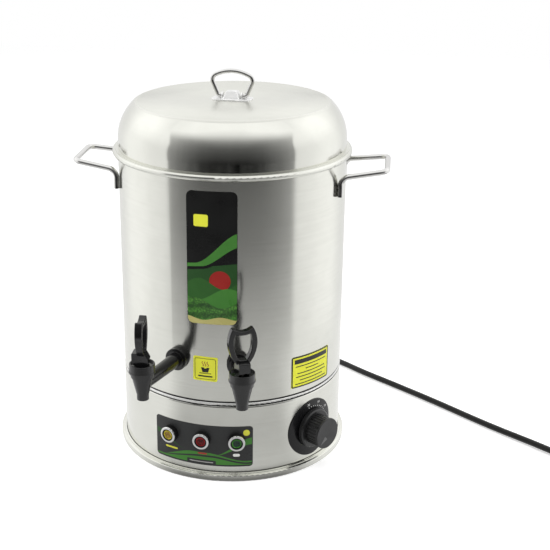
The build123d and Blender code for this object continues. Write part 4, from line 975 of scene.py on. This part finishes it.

# Floor. A matt white table that keeps the urn's shadow. In the steel it shows as a painted glow as far as
# it reaches round the urn, with painted shade towards the open front and a painted shadow close to the foot.
floor_half = 3.0
floor_drop = 0.0003
floor_own_glow = 0.45
table_brightness = 0.98
opening_turn = radians(6.9)
front = (sin(opening_turn), -cos(opening_turn), 0)
floor_corners = [(x * floor_half, y * floor_half, 0) for x, y in ((-1, -1), (1, -1), (1, 1), (-1, 1))]
floor_mesh = bpy.data.meshes.new("floor")
floor_mesh.from_pydata(floor_corners, [], [(0, 1, 2, 3)])
floor = bpy.data.objects.new("floor", floor_mesh)
floor.location.z = -floor_drop
bpy.context.scene.collection.objects.link(floor)
floor_white, nodes, links, shader = start_finish("floor_white", (0.86, 0.86, 0.86), 0.9)
shader.inputs["Specular IOR Level"].default_value = 0
shader.inputs["Emission Color"].default_value = (1, 1, 1, 1)
rays = nodes.new("ShaderNodeLightPath")
own_glow = add_range(nodes, links, rays.outputs["Is Camera Ray"], 0.0, floor_own_glow)
links.new(own_glow, shader.inputs["Emission Strength"])
place = nodes.new("ShaderNodeTexCoord").outputs["Object"]
reach = add_vector(nodes, links, "LENGTH", place).outputs["Value"]
heading = add_vector(nodes, links, "NORMALIZE", place).outputs["Vector"]
ahead_of_urn = add_vector(nodes, links, "DOT_PRODUCT", heading, front).outputs["Value"]
# Painted shade: the table's glow in the steel falls off towards the open front.
front_shade = add_math(
    nodes, links, "ADD",
    add_range(nodes, links, reach, -0.42, -0.20, 0.28, 0.46),
    add_range(nodes, links, reach, 0.08, 0.0, 0.18, 0.25),
)
front_share = add_range(nodes, links, ahead_of_urn, 0.0, 1.0, 0.52, 0.82, True)
painted_table_light = add_math(nodes, links, "MULTIPLY_ADD", front_share, front_shade, table_brightness)
# Painted shadow: close to the foot, in front of the urn, the table's glow is darker.
foot_shadow = add_range(nodes, links, reach, 0.68, 0.0, 0.152, 0.167, True)
in_front = add_range(nodes, links, ahead_of_urn, 0.0, -1.0, 0.72, 0.93, True)
foot_shadow_factor = add_math(nodes, links, "MULTIPLY_ADD", foot_shadow, in_front, 1.0)
# Painted reflection: glossy rays see the table as a glow, not as a lit surface.
glow = nodes.new("ShaderNodeEmission")
links.new(add_math(nodes, links, "MULTIPLY", painted_table_light, foot_shadow_factor), glow.inputs["Strength"])
beyond = nodes.new("ShaderNodeBsdfTransparent")
table = nodes.new("ShaderNodeMixShader")
links.new(add_range(nodes, links, reach, 1.0, 0.0, 0.38, 0.62, True), table.inputs["Fac"])
links.new(beyond.outputs["BSDF"], table.inputs[1])
links.new(glow.outputs["Emission"], table.inputs[2])
seen = nodes.new("ShaderNodeMixShader")
links.new(rays.outputs["Is Glossy Ray"], seen.inputs["Fac"])
links.new(shader.outputs["BSDF"], seen.inputs[1])
links.new(table.outputs["Shader"], seen.inputs[2])
links.new(seen.outputs["Shader"], nodes["Material Output"].inputs["Surface"])
floor_mesh.materials.append(floor_white)

# Light tent. White cloth hung round the table and over it, open towards the camera, so that the steel
# shows white at its sides and the dark room in its middle.
opening_spread = 0.6
edge_drop = 0.46
tent_fill = 0.55
tent = bpy.data.worlds.new("light_tent")
tent.use_nodes = True
bpy.context.scene.world = tent
nodes = tent.node_tree.nodes
links = tent.node_tree.links
nodes.clear()
output = nodes.new("ShaderNodeOutputWorld")
rays = nodes.new("ShaderNodeLightPath")
place = nodes.new("ShaderNodeTexCoord").outputs["Generated"]
level = add_vector(nodes, links, "MULTIPLY", place, (1, 1, 0)).outputs["Vector"]
heading = add_vector(nodes, links, "NORMALIZE", level).outputs["Vector"]
facing = add_vector(nodes, links, "DOT_PRODUCT", heading, front).outputs["Value"]
parts = nodes.new("ShaderNodeSeparateXYZ")
links.new(place, parts.inputs["Vector"])
height = parts.outputs["Z"]


def add_profile(value, stops):
    """Brightness against one part of a direction, from -1 to 1, as pairs of that part and a brightness."""
    ramp = nodes.new("ShaderNodeValToRGB")
    links.new(add_range(nodes, links, value, 0.0, 1.0, -1.0, 1.0), ramp.inputs["Fac"])
    stop_list = ramp.color_ramp.elements
    while len(stop_list) < len(stops):
        stop_list.new(0.5)
    for stop, (part, brightness) in zip(stop_list, stops):
        stop.position = (part + 1) / 2
        stop.color = (brightness, brightness, brightness, 1)
    return ramp.outputs["Color"]


widened = add_math(nodes, links, "POWER", add_range(nodes, links, height, 0.0, 1.0, 0.25, 0.90), 2.0)
opening = add_profile(add_math(nodes, links, "MULTIPLY_ADD", widened, opening_spread, facing), [
    (0.38, 0.0), (0.41, 0.12), (0.44, 0.60), (0.48, 0.69),
    (0.57, 0.77), (0.70, 0.87), (0.86, 0.965), (0.97, 1.0),
])
tent_round = add_profile(facing, [
    (-1.0, 0.85), (-0.80, 0.94), (-0.56, 1.16), (-0.40, 1.18), (-0.15, 1.14), (0.12, 1.02), (0.36, 0.96),
])
tent_height = add_profile(height, [
    (-0.80, 0.03), (-0.70, 0.06), (-0.62, 0.60), (-0.56, 0.95), (-0.40, 1.0), (0.10, 1.02),
    (0.34, 1.16), (0.50, 1.20), (0.64, 1.18), (0.80, 1.02), (0.95, 0.94),
])
back_glow = add_math(
    nodes, links, "MULTIPLY",
    add_range(nodes, links, facing, 1.0, 0.0, -1.0, -0.6),
    add_range(nodes, links, height, 0.0, 0.24, 0.26, 0.60),
)
aside = add_math(nodes, links, "SUBTRACT", 1.0, facing)
lowered_edge = add_math(nodes, links, "MULTIPLY", aside, add_math(nodes, links, "MAXIMUM", height, 0.0))
open_room = add_profile(add_math(nodes, links, "MULTIPLY_ADD", lowered_edge, edge_drop, height), [
    (-0.76, 0.04), (-0.62, 0.42), (-0.54, 0.68), (-0.49, 0.80), (-0.44, 0.82), (-0.41, 0.72), (-0.38, 0.47),
    (-0.35, 0.17), (-0.32, 0.06), (-0.29, 0.020), (-0.25, 0.0), (-0.08, 0.04), (0.16, 0.075), (0.36, 0.12),
    (0.50, 0.22), (0.60, 0.36), (0.70, 0.66), (0.80, 1.0), (0.92, 1.25),
])
tent_sides = nodes.new("ShaderNodeMix")
tent_sides.data_type = "RGBA"
tent_sides.blend_type = "MULTIPLY"
tent_sides.inputs["Factor"].default_value = 1
links.new(add_math(nodes, links, "ADD", tent_round, back_glow), tent_sides.inputs["A"])
links.new(tent_height, tent_sides.inputs["B"])
tent_colour = nodes.new("ShaderNodeMix")
tent_colour.data_type = "RGBA"
links.new(opening, tent_colour.inputs["Factor"])
links.new(tent_sides.outputs["Result"], tent_colour.inputs["A"])
links.new(open_room, tent_colour.inputs["B"])
mirrored = nodes.new("ShaderNodeBackground")
links.new(tent_colour.outputs["Result"], mirrored.inputs["Color"])
backdrop = nodes.new("ShaderNodeBackground")
backdrop.inputs["Color"].default_value = (1, 1, 1, 1)
fill = add_range(nodes, links, rays.outputs["Is Diffuse Ray"], 1.0, tent_fill)
links.new(fill, backdrop.inputs["Strength"])
mix = nodes.new("ShaderNodeMixShader")
links.new(rays.outputs["Is Glossy Ray"], mix.inputs["Fac"])
links.new(backdrop.outputs["Background"], mix.inputs[1])
links.new(mirrored.outputs["Background"], mix.inputs[2])
links.new(mix.outputs["Shader"], output.inputs["Surface"])

# Soft lamps. Three large boxes with white cloth in front, at both sides and above, that light the
# urn evenly and don't show in the steel.
aim_height = 0.22


def soft_box(name, azimuth, distance, height, width, tall, power):
    """Large soft lamp beside the urn, aimed at the middle of the tank."""
    data = bpy.data.lights.new(name, "AREA")
    data.shape = "RECTANGLE"
    data.size = width
    data.size_y = tall
    data.energy = power
    lamp = bpy.data.objects.new(name, data)
    turn = radians(azimuth)
    lamp.location = (distance * sin(turn), -distance * cos(turn), height)
    aim = Vector((0, 0, aim_height)) - lamp.location
    lamp.rotation_euler = aim.to_track_quat("-Z", "Y").to_euler()
    lamp.visible_glossy = False
    bpy.context.scene.collection.objects.link(lamp)


soft_box("left_box", azimuth=-78, distance=1.7, height=1.0, width=1.3, tall=1.5, power=14)
soft_box("right_box", azimuth=92, distance=1.7, height=1.0, width=1.3, tall=1.5, power=12)
soft_box("top_box", azimuth=0, distance=0.5, height=2.0, width=1.6, tall=1.6, power=16)
bpy.context.scene.view_settings.view_transform = "Standard"
